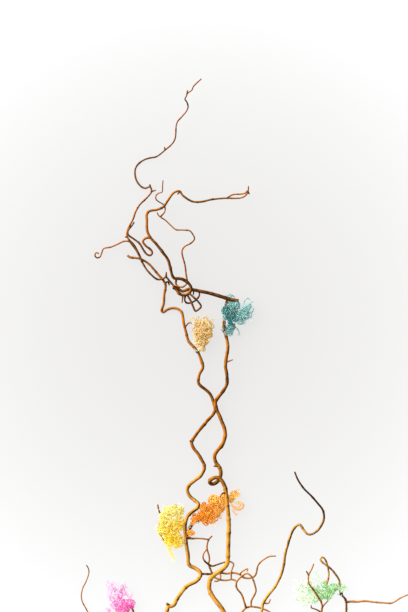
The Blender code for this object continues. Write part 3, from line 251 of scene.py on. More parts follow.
# How dark the bark is along a shoot, from root to tip at even spacing, partly darker bark and partly painted
# shade; below 0 it is lighter
USUAL_DARKENING = (0.1, 0.1)
DARKENING = {
    "left_stem": (0, 0, 0, 0.1, 0.45, 0.25, 0.25, 0.15, 0, 0, 0),
    "right_stem": (0, 0, 0, 0, 0, -0.3, -0.25, 0.35, 0.5, 0.4, 0.3),
    "tall": (0, 0, 0.1, 0.3, 0.35, 0.5, 0.9, 0.7, 0.95, 1, 1, 1),
    "low_shoot": (0, 0, 0, 0, 0, 0.3, 0.65, 0.4, 0.2, 0, 0.1), "edge_twig": (0.6, 0.4, 0.2, 0.1, 0, 0),
    "dark_stub": (0.7, 0.8), "elbow_hook": (0.8, 0.9), "yellow_back": (0.4, 0.5, 0.3),
    "orange_shoot": (0.4, 0.3), "tangle_e": (0.2, 0.4), "tangle_d": (0.5, 0.4), "tangle_a": (0, 0.1, 0.3),
    "mint_fork": (0.6, 0.5), "mint_right": (0.5, 0.8), "mint_left": (0.2, 0.5), "cream_curl": (0.5, 0.4),
    "small_twig": (0.6, 0.2), "crown_rod": (0.8, 0.8, 0.75, 0.7, 0.6, 0.15, 0),
    "ring_stem": (0.6, 0.95, 0.9, 0.4, 0.1, 0.1, 0.1, 0.1, 0.15, 0.25, 0.45), "inner_curl": (0.8, 0.5, 0.3),
    "ring_stub": (0.6, 0.4), "round_loop": (1, 1, 0.95, 0.7), "long_loop": (0.9, 1, 1, 0.95, 0.6),
    "rod_stub": (0.8, 0.9), "dark_bud": (0.7, 0.3), "s_hook": (0.2, 0.15, 0.3, 0.5, 0.95, 1, 1, 1, 0.5),
    "long_dark": (0.9, 0.85, 0.6, 0.6, 0.4, 0.2, 0.1, 0, 0, 0.1, 0.5),
    "top_twig": (0.2, 0.2, 0.25, 0.4, 0.5, 0.95, 0.85, 0.6, 0.35, 0.5, 0.6, 0.2), "far_left": (-0.35, -0.35),
}

# Each tuft of wool: its colours in linear light, the heart where it is tied and its colour is deepest, how
# many squares the colour takes to fade, its faint glow (painted light of its own), its number of locks, the
# shoot and place of its tie, the tie's turns and millimetres a turn, its puffs as (across, down, height in
# mm, half width in squares, half depth in mm, share of the locks), and its loose wisps, a list of points
# each.
WOOL = {
    "cream": {
        "deep": (0.66, 0.4, 0.085), "pale": (0.83, 0.64, 0.35), "heart": (206, 334, 22), "spread": 17,
        "glow": 0.16, "locks": 130, "stem": ("left_stem", (197.6, 351.4)), "turns": (3.2, 1.15),
        "puffs": [(198, 324.5, 23, 6, 8, 18), (206.5, 325.5, 24, 8, 9, 30), (202.5, 331.5, 23, 10, 11, 50),
            (207.5, 334, 23, 7, 9, 30), (200.5, 341, 22.5, 6, 8, 22), (205, 343, 22.5, 5, 7, 14),
            (201.5, 348.5, 21.5, 3.6, 5, 12)],
        "wisps": [[(205, 326, 24), (209, 320, 26), (213, 319.4, 25), (214, 322.5, 23)],
            [(192, 324, 24), (189.6, 319.8, 25), (192.5, 317.6, 25), (195, 320, 24)],
            [(198, 323, 24), (195, 319, 25), (198, 316.6, 26), (201, 319.5, 25)],
            [(204, 322, 24), (203, 317.6, 25), (207, 317, 25), (208, 321, 24)]],
    },
    "teal": {
        "deep": (0.0, 0.155, 0.145), "pale": (0.42, 0.7, 0.66), "heart": (227.5, 319, 21), "spread": 25,
        "glow": 0.11, "locks": 165, "stem": ("right_stem", (224.9, 331.0)), "turns": (3.2, 1.15),
        "puffs": [(226.8, 311, 24, 5.6, 7, 42), (227, 316, 22, 4.6, 6, 22), (230, 304.5, 18, 5.5, 6, 22),
            (236, 305, 17.5, 4.5, 6, 18), (233, 311, 21, 5.5, 7, 26), (236, 317, 19.5, 5.5, 7, 24),
            (231.5, 315.5, 17, 4, 6, 16), (231.5, 322.5, 20.5, 4.6, 6, 18), (243, 310, 19, 7, 8, 24),
            (246.5, 315, 18, 6, 7, 15), (241.5, 318.6, 17.5, 6, 7, 17), (248, 307, 18, 4, 6, 8),
            (229.8, 330.5, 20.5, 4.6, 6.5, 30), (232, 326.5, 20, 4, 5, 9)],
        "wisps": [[(246, 311, 17), (250.5, 308, 19), (250, 303.5, 21), (254.6, 301.6, 22)],
            [(247, 314, 17), (252, 312.5, 18), (254, 309.6, 19), (252, 307, 20)],
            [(233, 327, 16), (237, 328.5, 14), (239.5, 333, 13), (238.5, 336.5, 13)],
            [(226, 321, 17), (223.4, 324, 17), (222.6, 329, 17), (223.6, 334, 17)],
            [(228, 304, 15), (226.4, 298, 13), (229.4, 294.6, 13), (233.5, 295.8, 13), (235.4, 300, 14)],
            [(231, 304, 15), (230, 298, 13), (233, 295.6, 13), (236, 299, 14)],
            [(244, 305, 18), (245, 300, 20), (248.5, 298.4, 21), (250, 301, 21)]],
    },
    "yellow": {
        "deep": (0.9, 0.61, 0.0), "pale": (0.97, 0.89, 0.37), "heart": (171, 537, 25), "spread": 38,
        "glow": 0.17, "locks": 182, "stem": ("yellow_back", (177.6, 544.6)), "turns": (4.2, 1.2),
        "puffs": [(171, 533, 25, 10, 11, 50), (177, 538.5, 24, 8, 9, 30), (167, 525, 26, 9.5, 11, 40),
            (177, 524, 25, 9.5, 11, 44), (173.5, 512, 28, 9, 10, 32), (180.5, 511, 25, 6, 8, 14),
            (163, 521, 25, 6.5, 9, 20), (165, 512.5, 27, 6.5, 8, 16), (164, 531, 24, 6.5, 8, 28),
            (169, 540, 24, 7, 7, 30), (177, 543, 24, 8, 6, 26), (170.5, 547, 24, 3, 5, 6)],
        "wisps": [[(168, 539, 26), (167.6, 545, 25), (168.4, 551, 24), (172, 557, 23), (172.4, 563, 22)],
            [(170, 539, 25), (169, 546, 24), (170.6, 552, 23), (174.4, 557, 22), (173.6, 563.4, 22)],
            [(172, 540, 25), (170.6, 546, 24), (171.4, 551, 23), (173, 556, 22), (174.6, 560, 22)],
            [(169, 540, 25), (166.6, 544, 24), (168.6, 549, 23), (171, 554, 22)],
            [(174, 543, 22), (178.6, 546.6, 21), (184, 546.2, 20)],
            [(163, 526, 24), (158, 525, 25), (155.8, 528.6, 25), (158.4, 531, 24)],
            [(168, 541, 24), (167, 547, 23), (170, 552, 22), (173.4, 557, 21), (175, 561.5, 21)],
            [(163, 540, 24), (160, 536, 23), (157.4, 530, 23)]],
    },
    "orange": {
        "deep": (0.82, 0.235, 0.0), "pale": (1.0, 0.6, 0.14), "heart": (201, 518, 20), "spread": 34,
        "glow": 0.15, "locks": 180, "stem": ("orange_shoot", (191.2, 526)), "turns": (6.4, 2.1),
        "puffs": [(199, 517, 21, 7.5, 8, 32), (207, 518.5, 20, 8, 9, 46), (212.5, 518.5, 18, 6, 8, 16),
            (206, 509, 18, 9, 10, 48), (214.5, 510.5, 15, 8, 8, 40), (213, 501.5, 14, 8, 8, 38),
            (219.5, 505.5, 13, 7, 7, 26), (221, 500, 11, 6.5, 6.5, 30), (226, 498, 10, 5, 5, 14),
            (231, 498, 10, 5, 6, 20), (235, 494, 11, 3.6, 5, 5), (190.4, 532.5, 26, 1.8, 3, 5),
            (193.5, 521, 25, 2.6, 4, 7)],
        "wisps": [[(231, 501, 10), (233, 506.5, 12), (238, 509, 14), (242.6, 507, 15), (242, 503.4, 15),
             (237.5, 502.4, 14), (233, 504, 12)],
            [(230, 503, 10), (234, 509, 11), (240, 510, 12), (244, 506, 13), (241, 502.4, 13),
             (235, 502, 12)],
            [(231, 504, 10), (234, 507, 11), (238.6, 507, 12), (240.6, 505, 13), (238, 503.6, 13),
             (234, 505, 12)],
            [(231, 496, 11), (232.5, 491.6, 12), (237, 490.4, 13), (239.6, 488.8, 14)],
            [(231, 498, 11), (234, 493, 12), (237, 493.6, 13), (238.4, 490.6, 14)],
            [(232, 509, 11), (236, 514.6, 12), (239.6, 512.6, 13)],
            [(215, 513, 14), (217.6, 517.6, 13), (221.4, 517.6, 12), (221.6, 514, 12)],
            [(217, 507, 13), (221, 511.6, 12), (224, 512.4, 11)]],
    },
    "pink": {
        "deep": (0.95, 0.08, 0.46), "pale": (1.0, 0.78, 0.95), "heart": (126, 608, 16), "spread": 25,
        "glow": 0.16, "locks": 128, "stem": ("pink_twig", (131.4, 607.4)), "turns": (3.2, 1.15),
        "puffs": [(127, 605.5, 16.5, 7, 9, 50), (122, 606, 16.5, 6, 8, 30), (130, 603, 16.5, 4.5, 7, 14),
            (116, 606, 16.5, 5, 7, 14), (122, 612, 15.5, 8, 8, 22), (109, 611, 15, 5, 6, 6),
            (112, 597, 17, 5.5, 8, 6), (119, 595, 17, 6.5, 8, 10), (125, 593.5, 17, 5.5, 8, 8),
            (113, 590, 17.5, 5.5, 8, 6), (121, 588.5, 17.5, 5, 7, 4), (109.5, 585.5, 18, 3.6, 6, 3)],
        "wisps": [[(110, 590, 18), (107.4, 587, 19), (107, 581.5, 20), (109.4, 578.6, 21)],
            [(115, 592, 17), (112, 587, 18), (112.6, 582, 19), (117, 584.6, 19), (121, 587, 18)],
            [(118, 592, 17), (122, 589, 16), (127.6, 587.4, 15), (129, 590.5, 15)],
            [(128, 600, 17), (131, 596, 16), (133.4, 590.6, 15)],
            [(113, 597, 17), (109, 598, 17), (106.6, 595, 18), (108.6, 592, 18)]],
    },
    "mint": {
        "deep": (0.27, 0.58, 0.2), "pale": (0.9, 1.0, 0.8), "heart": (329, 590, 18), "spread": 26,
        "glow": 0.2, "locks": 160, "stem": ("low_shoot", (341.4, 594.0)), "turns": (3.2, 1.15),
        "puffs": [(333, 588.5, 18.5, 5.5, 8, 28), (326.5, 592, 18, 6, 8, 28), (329, 596.5, 17.5, 5.5, 7, 14),
            (341.5, 588, 17.5, 4.2, 7, 18), (337, 587, 18, 4, 7, 10), (321, 596, 17, 5.5, 8, 16),
            (324, 584, 18.5, 5.5, 7, 14), (317, 590, 17, 6.5, 8, 18), (314, 598, 16, 6.5, 7, 20),
            (307, 592, 16, 6.5, 8, 16), (306, 600.5, 15, 5.5, 6, 12), (299, 597, 15.5, 6, 7, 11),
            (300, 588, 17, 6, 7, 9), (309, 583, 18, 5.5, 7, 6), (297, 581.5, 17, 3.6, 6, 3)],
        "wisps": [[(318, 585, 19), (315.6, 579, 22), (310.5, 577, 23), (311.6, 573.4, 24)],
            [(320, 584, 19), (319, 577, 21), (315.6, 573.6, 23), (317, 570, 24)],
            [(301, 590, 17), (298, 587.6, 18), (300, 584.6, 18), (305, 586, 18), (304, 590, 17)],
            [(300, 592, 17), (296, 589.6, 18), (298, 585, 18), (303.6, 587, 18), (302.6, 592, 17)],
            [(308, 600, 15), (304, 605.6, 14), (300, 606, 14)],
            [(342, 588, 17), (345.6, 587, 16), (347.6, 590.6, 15)]],
    },
}

# Stems and twigs: the sides of their rings, metres from ring to ring, how much fuller than its solid a shoot
# is drawn, in millimetres, and how far apart its buds stand, as a share of the node spacing
STEM = {"sides": 16, "step": 0.0016, "fuller": 0.2, "bud_gap": 1.3}
TWIG = {"sides": 10, "step": 0.0018, "fuller": 0.32, "bud_gap": 0.8}
STEMS = ("right_stem", "left_stem", "crown_rod", "ring_stem")
# Shoots that are fuller or less full than that, ends that are cut across, and shoots with the stems' bark
FULLER = {"tall": 0.58, "round_loop": 0.36, "long_loop": 0.36, "low_shoot": 0.2, "s_hook": 0.6, "far_left": 0}
CUT_ENDS = {"right_stem": "root", "left_stem": "tip", "crown_rod": "root", "orange_shoot": "tip",
            "tall_stub": "tip", "ring_stub": "tip", "rod_stub": "tip"}
STEM_BARKED = (*STEMS, "low_shoot", "tall", "orange_shoot")

# Along a shoot, in metres: half the swelling and the dark ring at a bud, the flare and the dark fork where a
# twig leaves its stem, and the bare length at its tip. Then the strength of the ring, the flare and the fork.
SWELL_REACH, RING_REACH, FLARE_REACH, FORK_REACH, BARE_TIP = 0.0016, 0.0011, 0.0028, 0.0035, 0.006
RING_DARK, FLARE, FORK_DARK = 0.75, 0.45, 0.85

# Buds, as least and most: the first one's place and the gaps (in node spacings), half turns from one to the
# next, and size. The size grows from its least share with the shoot's radius, by one for so many metres.
FIRST_BUD, BUD_GAP, BUD_TURN, BUD_SIZE = (0.3, 0.9), (0.6, 1.5), (0.75, 1.25), (0.65, 1.0)
LEAST_BUD, BUD_GROWTH = 0.45, 0.004

# A shoot's thickness waves by this share of it, in this many waves of so many radians a metre
RIPPLE = 0.022
RIPPLES = 4
RIPPLE_PACE = (90, 420)

# The rings of a rounded tip: how far on, how wide (both in tip radii) and how dark
TIP_ON = np.array([0.0, 0.45, 0.8, 0.97])
TIP_WIDE = np.array([1.0, 0.88, 0.58, 0.2])
TIP_DARK = [0.3, 0.6, 0.8, 0.9]

# A cut end, as shares of its radius: the rim of bark, the pale wood, how far that is sunk, and the pith's rim
RIM, PALE_WOOD, SUNK, PITH_RIM = 0.13, 0.62, 0.03, 0.07
# Its colours in linear light: the wood, its rays, the pith and the pith's rays
CUT_COLOURS = {"": ((0.72, 0.55, 0.34), (0.50, 0.32, 0.15), (0.36, 0.20, 0.09), (0.18, 0.09, 0.04)),
               "crown_": ((0.40, 0.25, 0.13), (0.22, 0.12, 0.06), (0.16, 0.08, 0.04), (0.08, 0.04, 0.02))}

# A bud's width and thickness against its length, how fast it tapers, how far it curls in and leans out, how
# far out and up it stands (in twig radii and metres), and how dark it is
BUD_SHAPE = (0.42, 0.36, 1.0)
BUD_TAPER, BUD_CURL, BUD_LEAN, BUD_OUT, BUD_UP, BUD_DARK = 0.75, 0.10, 0.28, 0.92, 0.0008, 0.5

# The bark's unevenness is this coarse, and corners over this many degrees stay sharp
BARK_LUMPS = 0.006
SHARP_OVER = 50

# Painted shade: bark is painted darker on the side turned this way, away from the key light
PAINTED_SHADE_SIDE = (0.64, -0.46, -0.61)

# Locks of wool, pairs as least and most: points a turn, turns, metres a turn, curl radius against the middle
# one (tight and loose), how near its puff's rim a lock lies, and its change of tone
LOCK_POINTS, LOCK_TURNS, LOCK_PITCH = 9, (1.2, 2.2), (0.0012, 0.0034)
LOCK_CURLS = ((0.55, 1.1), (0.9, 1.6))
LOCK_REACH, RIMWARD, LOCK_TONE = (0.05, 1), 0.45, (-0.25, 0.25)
LEAST_ROOM = 0.0015
LOWEST_WOOL = 0.0002
# How a curl changes: its radius by this share, at this pace, its middle line bowed and drawn aside (in radii)
CURL_SWELL, CURL_PACE, CURL_BOW, CURL_SLIP = 0.28, (3, 9), (-1.2, 1.2), (-0.7, 0.7)
# The fluff round the locks, one for each few of them: turns, pitch, curl radius and how near the puff's rim
FLUFF_PER, FLUFF_TURNS, FLUFF_PITCH, FLUFF_CURL, FLUFF_REACH = 3, (0.8, 1.6), 0.003, (0.8, 1.6), (0.7, 1.0)
# Bundle and strand radii of the fluff and of the wisps, as shares of a lock's
FLUFF, WISP = (0.6, 0.6), (1.05, 0.85)
WISP_STEP, WISP_TONE = 0.0016, (0.45, 1.0)
# A strand in its bundle: its start and its wander round it, in turns, how far out it lies, how much and how
# fast that changes, its thickness, how blunt its ends are, the part (a fifth) of the lock that it may leave
# out at an end, and its change of tone
START, WANDER, OUT, OUT_SWELL, OUT_PACE = (-0.1, 0.1), (-0.8, 0.8), (0.25, 1.15), 0.35, (6, 16)
THICKNESS, BLUNT, LEFT_OUT, STRAND_TONE = (0.75, 1.25), 0.3, 5, (-0.15, 0.15)

# Strands are drawn with three sides. Their ends are drawn out this thin, to be merged to a point.
STRAND_SIDES = 3
CLOSED_END = 4e-6
END_MERGE = 1.2e-5

# Ties: how far the wire's middle stands off the twig, its radius, its sides, its points a turn, the angle it
# starts at, the points of its loose end (in metres) and how fast that leaves the twig
TIE_GAP, WIRE, WIRE_SIDES, WIRE_POINTS, WIRE_START = 0.00105, 0.0005, 8, 20, 0.8
WIRE_END, WIRE_AWAY = (0.0008, 0.0018, 0.003, 0.0042), 0.35

SEEDS = {"branch": 11, "crown": 23, "wool": 31}

# The camera looks straight down on the branch through a long lens, over the middle of what the photo shows
CAMERA_LENS = 300
CAMERA_REACH = 60
CAMERA_PLACE = (-0.0648, 0.1620, 8.185)

# The large soft light shines this way, down from the upper left, from a disc this many degrees wide
KEY_WAY = (0.62, -0.44, -0.65)
KEY_SOFTNESS = 75

# The floor is a little dimmer and warmer in the middle of the view; it brightens with the distance squared
FLOOR_SIZE = 14
FLOOR_MIDDLE = (-0.065, 0.138, 0.0)
FLOOR_DIM = 0.845
FLOOR_RISE = 0.66
FLOOR_MOST = 1.02
FLOOR_WARMTH = (1.0, 0.992, 0.978)


class BarkSettings(bpy.types.PropertyGroup):
    """Sizes and colours of the stems and twigs."""

    node_spacing: FloatProperty(name="Node spacing", description="Distance between the buds along a shoot",
                                default=0.026, min=0.005, unit="LENGTH")
    node_swell: FloatProperty(name="Node swell", description="How much thicker a shoot is at a bud",
                              default=0.16, subtype="FACTOR")
    bud_length: FloatProperty(name="Bud length", description="Length of a bud", default=0.0034, unit="LENGTH")
    relief: FloatProperty(name="Bark relief", description="Height of the unevenness of the stems' bark",
                          default=0.0005, unit="LENGTH")
    golden: FloatVectorProperty(name="Golden bark", description="Light bark of the stems",
                                default=(0.29, 0.09, 0.003), subtype="COLOR", min=0, max=1)
    # Painted light: brighter bark low on the stems
    lit_low_bark: FloatVectorProperty(name="Lit low bark", description="Light bark low on the stems",
                              default=(0.47, 0.22, 0.03), subtype="COLOR", min=0, max=1)
    brown: FloatVectorProperty(name="Brown bark", description="Darker bark of the stems",
                               default=(0.12, 0.036, 0.003), subtype="COLOR", min=0, max=1)
    russet: FloatVectorProperty(name="Russet bark", description="Bark of the thin twigs",
                                default=(0.205, 0.06, 0.003), subtype="COLOR", min=0, max=1)
    # Painted light: brighter bark of the low thin twigs
    lit_low_twig_bark: FloatVectorProperty(name="Lit low twig bark", description="Light bark of the low thin twigs",
                                   default=(0.33, 0.125, 0.012), subtype="COLOR", min=0, max=1)
    # The dark bark is also the colour of the painted shade
    dark: FloatVectorProperty(name="Dark bark", description="Bark at the buds and on the dark side",
                              default=(0.030, 0.008, 0.0006), subtype="COLOR", min=0, max=1)


class WoolSettings(bpy.types.PropertyGroup):
    """Sizes of the wool."""

    strand: FloatProperty(name="Strand radius", description="Radius of one strand of wool", default=0.00022,
                          unit="LENGTH", precision=5)
    lock: FloatProperty(name="Lock radius", description="Radius of the loose bundle of strands in a lock",
                        default=0.00125, unit="LENGTH", precision=5)
    strands: IntProperty(name="Strands", description="Strands in a lock", default=11, min=2)
    curl: FloatProperty(name="Curl radius", description="Middle radius of a lock's curls", default=0.0040,
                        unit="LENGTH", precision=4)


class StageSettings(bpy.types.PropertyGroup):
    """Floor and light."""

    key: FloatProperty(name="Key light", description="Strength of the soft light", default=5.6)
    sky: FloatProperty(name="Sky", description="Strength of the even light from all round", default=0.8)
    glow: FloatProperty(name="Floor glow", description="Share of the floor's brightness that shines through",
                        default=0.86, min=0, max=1, subtype="FACTOR")


def settings(which):
    """The settings group of this name, on the scene."""
    return getattr(bpy.context.scene, "willow_" + which)


class Sum:
    """A value in a shader; arithmetic on it adds the nodes that work it out."""

    def __init__(self, looks, socket):
        self.looks = looks
        self.socket = socket

    def __add__(self, other):
        return self.looks.maths("ADD", self, other)

    def __sub__(self, other):
        return self.looks.maths("SUBTRACT", self, other)

    def __rsub__(self, other):
        return self.looks.maths("SUBTRACT", other, self)

    def __mul__(self, other):
        return self.looks.maths("MULTIPLY", self, other)

    __radd__ = __add__
    __rmul__ = __mul__


class Looks:
    """One material's nodes."""

    def __init__(self, name):
        self.material = bpy.data.materials.new(name)
        self.material.use_nodes = True
        self.tree = self.material.node_tree
        self.shader = self.tree.nodes["Principled BSDF"]

    def node(self, kind, sockets=(), **choices):
        """A node of this kind, with its choices set first and then its sockets."""
        made = self.tree.nodes.new("ShaderNode" + kind)
        for name, choice in choices.items():
            setattr(made, name, choice)
        for name, value in dict(sockets).items():
            self.put(made.inputs[name], value)
        return made

    def put(self, socket, value):
        """Link a value to a socket, or set it there."""
        if isinstance(value, Sum):
            value = value.socket
        if isinstance(value, bpy.types.NodeSocket):
            self.tree.links.new(value, socket)
        elif socket.type == "RGBA" and len(value) == 3:
            socket.default_value = (*value, 1)
        else:
            socket.default_value = value

    def value(self, made, output):
        return Sum(self, made.outputs[output])

    def maths(self, operation, *parts, clamp=False):
        return self.value(self.node("Math", dict(enumerate(parts)), operation=operation, use_clamp=clamp), 0)

    def clamp(self, value):
        return self.maths("ADD", value, 0.0, clamp=True)

    def noise(self, vector, scale, detail=2.0, roughness=0.55):
        made = self.node("TexNoise", {"Vector": vector, "Scale": scale, "Detail": detail,
                                      "Roughness": roughness})
        return self.value(made, "Fac")

    def mix(self, share, first, second):
        """One colour turning into another."""
        return self.node("Mix", {"Factor": share, 6: first, 7: second}, data_type="RGBA").outputs[2]

    def position(self):
        """Where a point of the surface is."""
        return self.node("TexCoord").outputs["Object"]

    def drawn(self):
        """The two values of the piece's UV map."""
        turned = self.node("SeparateXYZ", {"Vector": self.node("UVMap").outputs["UV"]})
        return self.value(turned, "X"), self.value(turned, "Y")

    def relief(self, height, distance, strength=1.0):
        """Bumps from a height."""
        bump = self.node("Bump", {"Height": height, "Distance": distance, "Strength": strength})
        self.put(self.shader.inputs["Normal"], bump.outputs["Normal"])

    def finish(self, **sockets):
        """Set the shader's own sockets and hand back the material."""
        for name, value in sockets.items():
            self.put(self.shader.inputs[name.replace("_", " ").title().replace("Ior", "IOR")], value)
        return self.material


def shade_of(colour, times, more=0.0):
    """The colour made this many times as bright, with this much grey light added."""
    return tuple(min(1, part * times + more) for part in colour)


def bark_look(name, light, low, shade, coat, shadow):
    """Willow bark: wrinkles, mottling, pale pores, dark rings at the buds, a painted shade on the side turned
    from the key light and a painted highlight on the side facing it.

    Low on the branch the light colour gives way to the low one, and the bark is darker higher up: painted
    light and shade. Shadow is how far round the painted shade goes.
    """
    looks = Looks(name)
    dark = settings("bark").dark
    along, round_share = looks.drawn()
    angle = round_share * math.tau
    wound = looks.node("CombineXYZ", {"X": looks.maths("COSINE", angle) * 1.4, "Z": along * 70,
                                      "Y": looks.maths("SINE", angle) * 1.4}).outputs["Vector"]
    position = looks.position()
    wrinkles = looks.noise(wound, scale=3.2, detail=4.0, roughness=0.6)
    mottle = looks.noise(position, scale=75.0, detail=3.0)
    blotch = mottle - 0.5
    patch = looks.noise(position, scale=14.0) - 0.5
    pores = looks.node("TexVoronoi", {"Vector": wound, "Scale": 2.1})
    pore = looks.clamp((0.13 - looks.value(pores, "Distance")) * 14)
    dark_and_shade = looks.value(looks.node("Attribute", attribute_name="dark_and_shade"), "Fac")
    up = looks.value(looks.node("SeparateXYZ", {"Vector": position}), "Y")
    facing = looks.value(looks.node("VectorMath", {0: looks.node("NewGeometry").outputs["Normal"],
                                                   1: PAINTED_SHADE_SIDE}, operation="DOT_PRODUCT"), "Value")
    # Tone differs at random, and is lower higher up the branch, so the bark there is darker: painted shade
    tone = looks.clamp((wrinkles - 0.5) * 2.4 + blotch * 2.2 + patch * 1.4 + 0.66 - up * 0.35)
    # Painted shade: bark turned from the key light is painted dark; a larger shadow takes it further round
    painted_shade = looks.clamp((facing + blotch * 0.5 + patch * 0.6 + shadow) * 2.8)
    # Painted highlight: bark facing the key light is painted brighter
    painted_highlight = looks.clamp((-0.68 - facing) * 3.2)
    # Painted light: low on the branch the light colour turns into the low one
    painted_low_light = looks.clamp((-0.07 - up + patch * 0.06) * 10)
    bark = looks.mix(tone, looks.mix(painted_low_light * 0.6, shade, light), looks.mix(painted_low_light, light, low))
    bark = looks.mix(painted_highlight * 0.55, bark, looks.mix(painted_low_light, shade_of(light, 2.1), shade_of(low, 2.0)))
    bark = looks.mix(pore * 0.5, bark, shade_of(light, 1.4, 0.04))
    # Dark at buds and forks, in darker stretches partly of painted shade, at low tone, and with the painted
    # shade on the side turned from the key light
    bark = looks.mix(looks.clamp(dark_and_shade * 0.92 + (0.34 - tone) * 1.1 + painted_shade * 0.95), bark, dark)
    looks.relief(wrinkles * 0.6 + mottle * 0.4 + pore * 0.25, distance=0.00035, strength=0.8)
    return looks.finish(base_color=bark, roughness=looks.clamp(0.60 - tone * 0.2), coat_weight=coat,
                        coat_roughness=0.3, specular_ior_level=0.07, specular_tint=(1.0, 0.74, 0.38, 1.0))


def cut_wood_look(name, pale, rays):
    """The wood of a cut end: pale, with a few darker rays."""
    looks = Looks(name)
    grain = looks.noise(looks.position(), scale=900.0)
    looks.relief(grain, distance=0.0002)
    return looks.finish(base_color=looks.mix(looks.clamp((grain - 0.35) * 2.2), rays, pale), roughness=0.85)


def wool_look(name, deep, pale, glow):
    """Dyed wool: deep at its heart, paler in the loose curls, translucent and soft at its edges.

    A faint glow of its own, painted light, stands for the daylight that passes through the curls.
    """
    looks = Looks(name)
    position = looks.position()
    share = looks.clamp(looks.drawn()[0] + (looks.noise(position, scale=170.0) - 0.5) * 0.7)
    looks.relief(looks.noise(position, scale=2200.0), distance=0.0001, strength=0.5)
    # Painted light: a dimmed base colour with a faint glow in the wool's own colours
    return looks.finish(base_color=looks.mix(share, shade_of(deep, 0.82), shade_of(pale, 0.82)),
                        roughness=0.7, specular_ior_level=0.12, sheen_weight=0.04, sheen_roughness=0.4,
                        emission_color=looks.mix(share, deep, pale), emission_strength=glow,
                        subsurface_weight=1.0, subsurface_scale=0.0002, subsurface_radius=(1.0, 1.0, 1.0))


def wire_look():
    """Thin silvery wire, dulled in places, with painted reflections: pale in some patches and near black in
    others.
    """
    looks = Looks("silvery_wire")
    dull_and_glint = looks.noise(looks.position(), scale=420.0)
    looks.relief(dull_and_glint, distance=0.00005)
    # Painted reflections: pale and near-black patches of colour stand in for what the metal reflects
    bright = looks.clamp((dull_and_glint - 0.52) * 9)
    return looks.finish(base_color=looks.mix(bright, (0.035, 0.03, 0.028), (0.62, 0.62, 0.61)), metallic=1.0,
                        roughness=looks.clamp(0.22 + dull_and_glint * 0.25))


def deselect():
    """Leave object mode ready for the next piece."""
    if bpy.context.mode != "OBJECT":
        bpy.ops.object.mode_set(mode="OBJECT")
    bpy.ops.object.select_all(action="DESELECT")


def take(piece):
    """Make this the one selected and active object."""
    deselect()
    piece.select_set(True)
    bpy.context.view_layer.objects.active = piece


def edit_all(piece):
    """Open this piece in edit mode with all of it selected."""
    take(piece)
    bpy.ops.object.mode_set(mode="EDIT")
    bpy.ops.mesh.select_all(action="SELECT")


def keep_above(piece, height):
    """End editing and lift what would reach below this height."""
    bpy.ops.object.mode_set(mode="OBJECT")
    for vert in piece.data.vertices:
        vert.co.z = max(vert.co.z, height)


def write_dark_and_shade(piece, values):
    """Store how dark the bark is at each point, painted shade included."""
    attribute = piece.data.attributes.new("dark_and_shade", "FLOAT", "POINT")
    attribute.data.foreach_set("value", np.asarray(values, dtype=np.float32))


def place(across, down, height):
    """A grid point and a height in millimetres, in metres."""
    return np.array([(across - GRID_MIDDLE[0]) * GRID, (GRID_MIDDLE[1] - down) * GRID, height * MM])


def unit(vector):
    """The same direction, one long."""
    return vector / np.linalg.norm(vector)


def smooth_route(squares, step):
    """Points about a step apart on one smooth curve through the given grid points, as in the solids."""
    points = [place(*square) for square in squares]
    spans = [np.linalg.norm(b - a) for a, b in zip(points, points[1:])]
    slopes = [(points[1] - points[0]) / spans[0]]
    for i in range(1, len(points) - 1):
        slopes.append((points[i + 1] - points[i - 1]) / (spans[i - 1] + spans[i]))
    slopes.append((points[-1] - points[-2]) / spans[-1])
    route = [points[0]]
    for i, span in enumerate(spans):
        pieces = max(1, round(span / step))
        for k in range(1, pieces + 1):
            t = k / pieces
            route.append((1 + 2 * t) * (1 - t) ** 2 * points[i] + t * (1 - t) ** 2 * span * slopes[i]
                         + t * t * (3 - 2 * t) * points[i + 1] - t * t * (1 - t) * span * slopes[i + 1])
    return np.array(route)


def lengths_along(route):
    """Distance from the root at each point."""
    return np.concatenate([[0], np.cumsum(np.linalg.norm(np.diff(route, axis=0), axis=1))])


def spread_along(along, values):
    """Evenly spaced values, at each of these distances."""
    return np.interp(along / along[-1], np.linspace(0, 1, len(values)), values)


def curve_mesh(name, lines, sides, look):
    """Tubes along these lines of (points, radii), drawn as one curve and made a mesh, with open ends."""
    curve = bpy.data.curves.new(name, "CURVE")
    curve.dimensions = "3D"
    outline = None
    if sides == STRAND_SIDES:
        outline = bpy.data.objects.new("strand_outline", bpy.data.curves.new("strand_outline", "CURVE"))
        bpy.context.scene.collection.objects.link(outline)
        ring = outline.data.splines.new("POLY")
        ring.points.add(sides - 1)
        ring.points.foreach_set("co", [value for turn in (0, 2, 1) for value in
                                       (math.cos(turn * math.tau / 3), math.sin(turn * math.tau / 3), 0, 1)])
        ring.use_cyclic_u = True
        curve.bevel_mode = "OBJECT"
        curve.bevel_object = outline
    else:
        curve.bevel_depth = 1.0
        curve.bevel_resolution = (sides - 4) // 2
    for points, radii in lines:
        spline = curve.splines.new("POLY")
        spline.points.add(len(points) - 1)
        spline.points.foreach_set("co", np.column_stack([points, np.ones(len(points))]).ravel())
        spline.points.foreach_set("radius", np.asarray(radii, dtype=float))
    drawn = bpy.data.objects.new(name, curve)
    bpy.context.scene.collection.objects.link(drawn)
    take(drawn)
    bpy.ops.object.convert(target="MESH")
    piece = bpy.context.view_layer.objects.active
    if outline:
        bpy.data.objects.remove(outline)
    piece.data.name = name
    piece.data.materials.clear()
    piece.data.materials.append(look)
    return piece


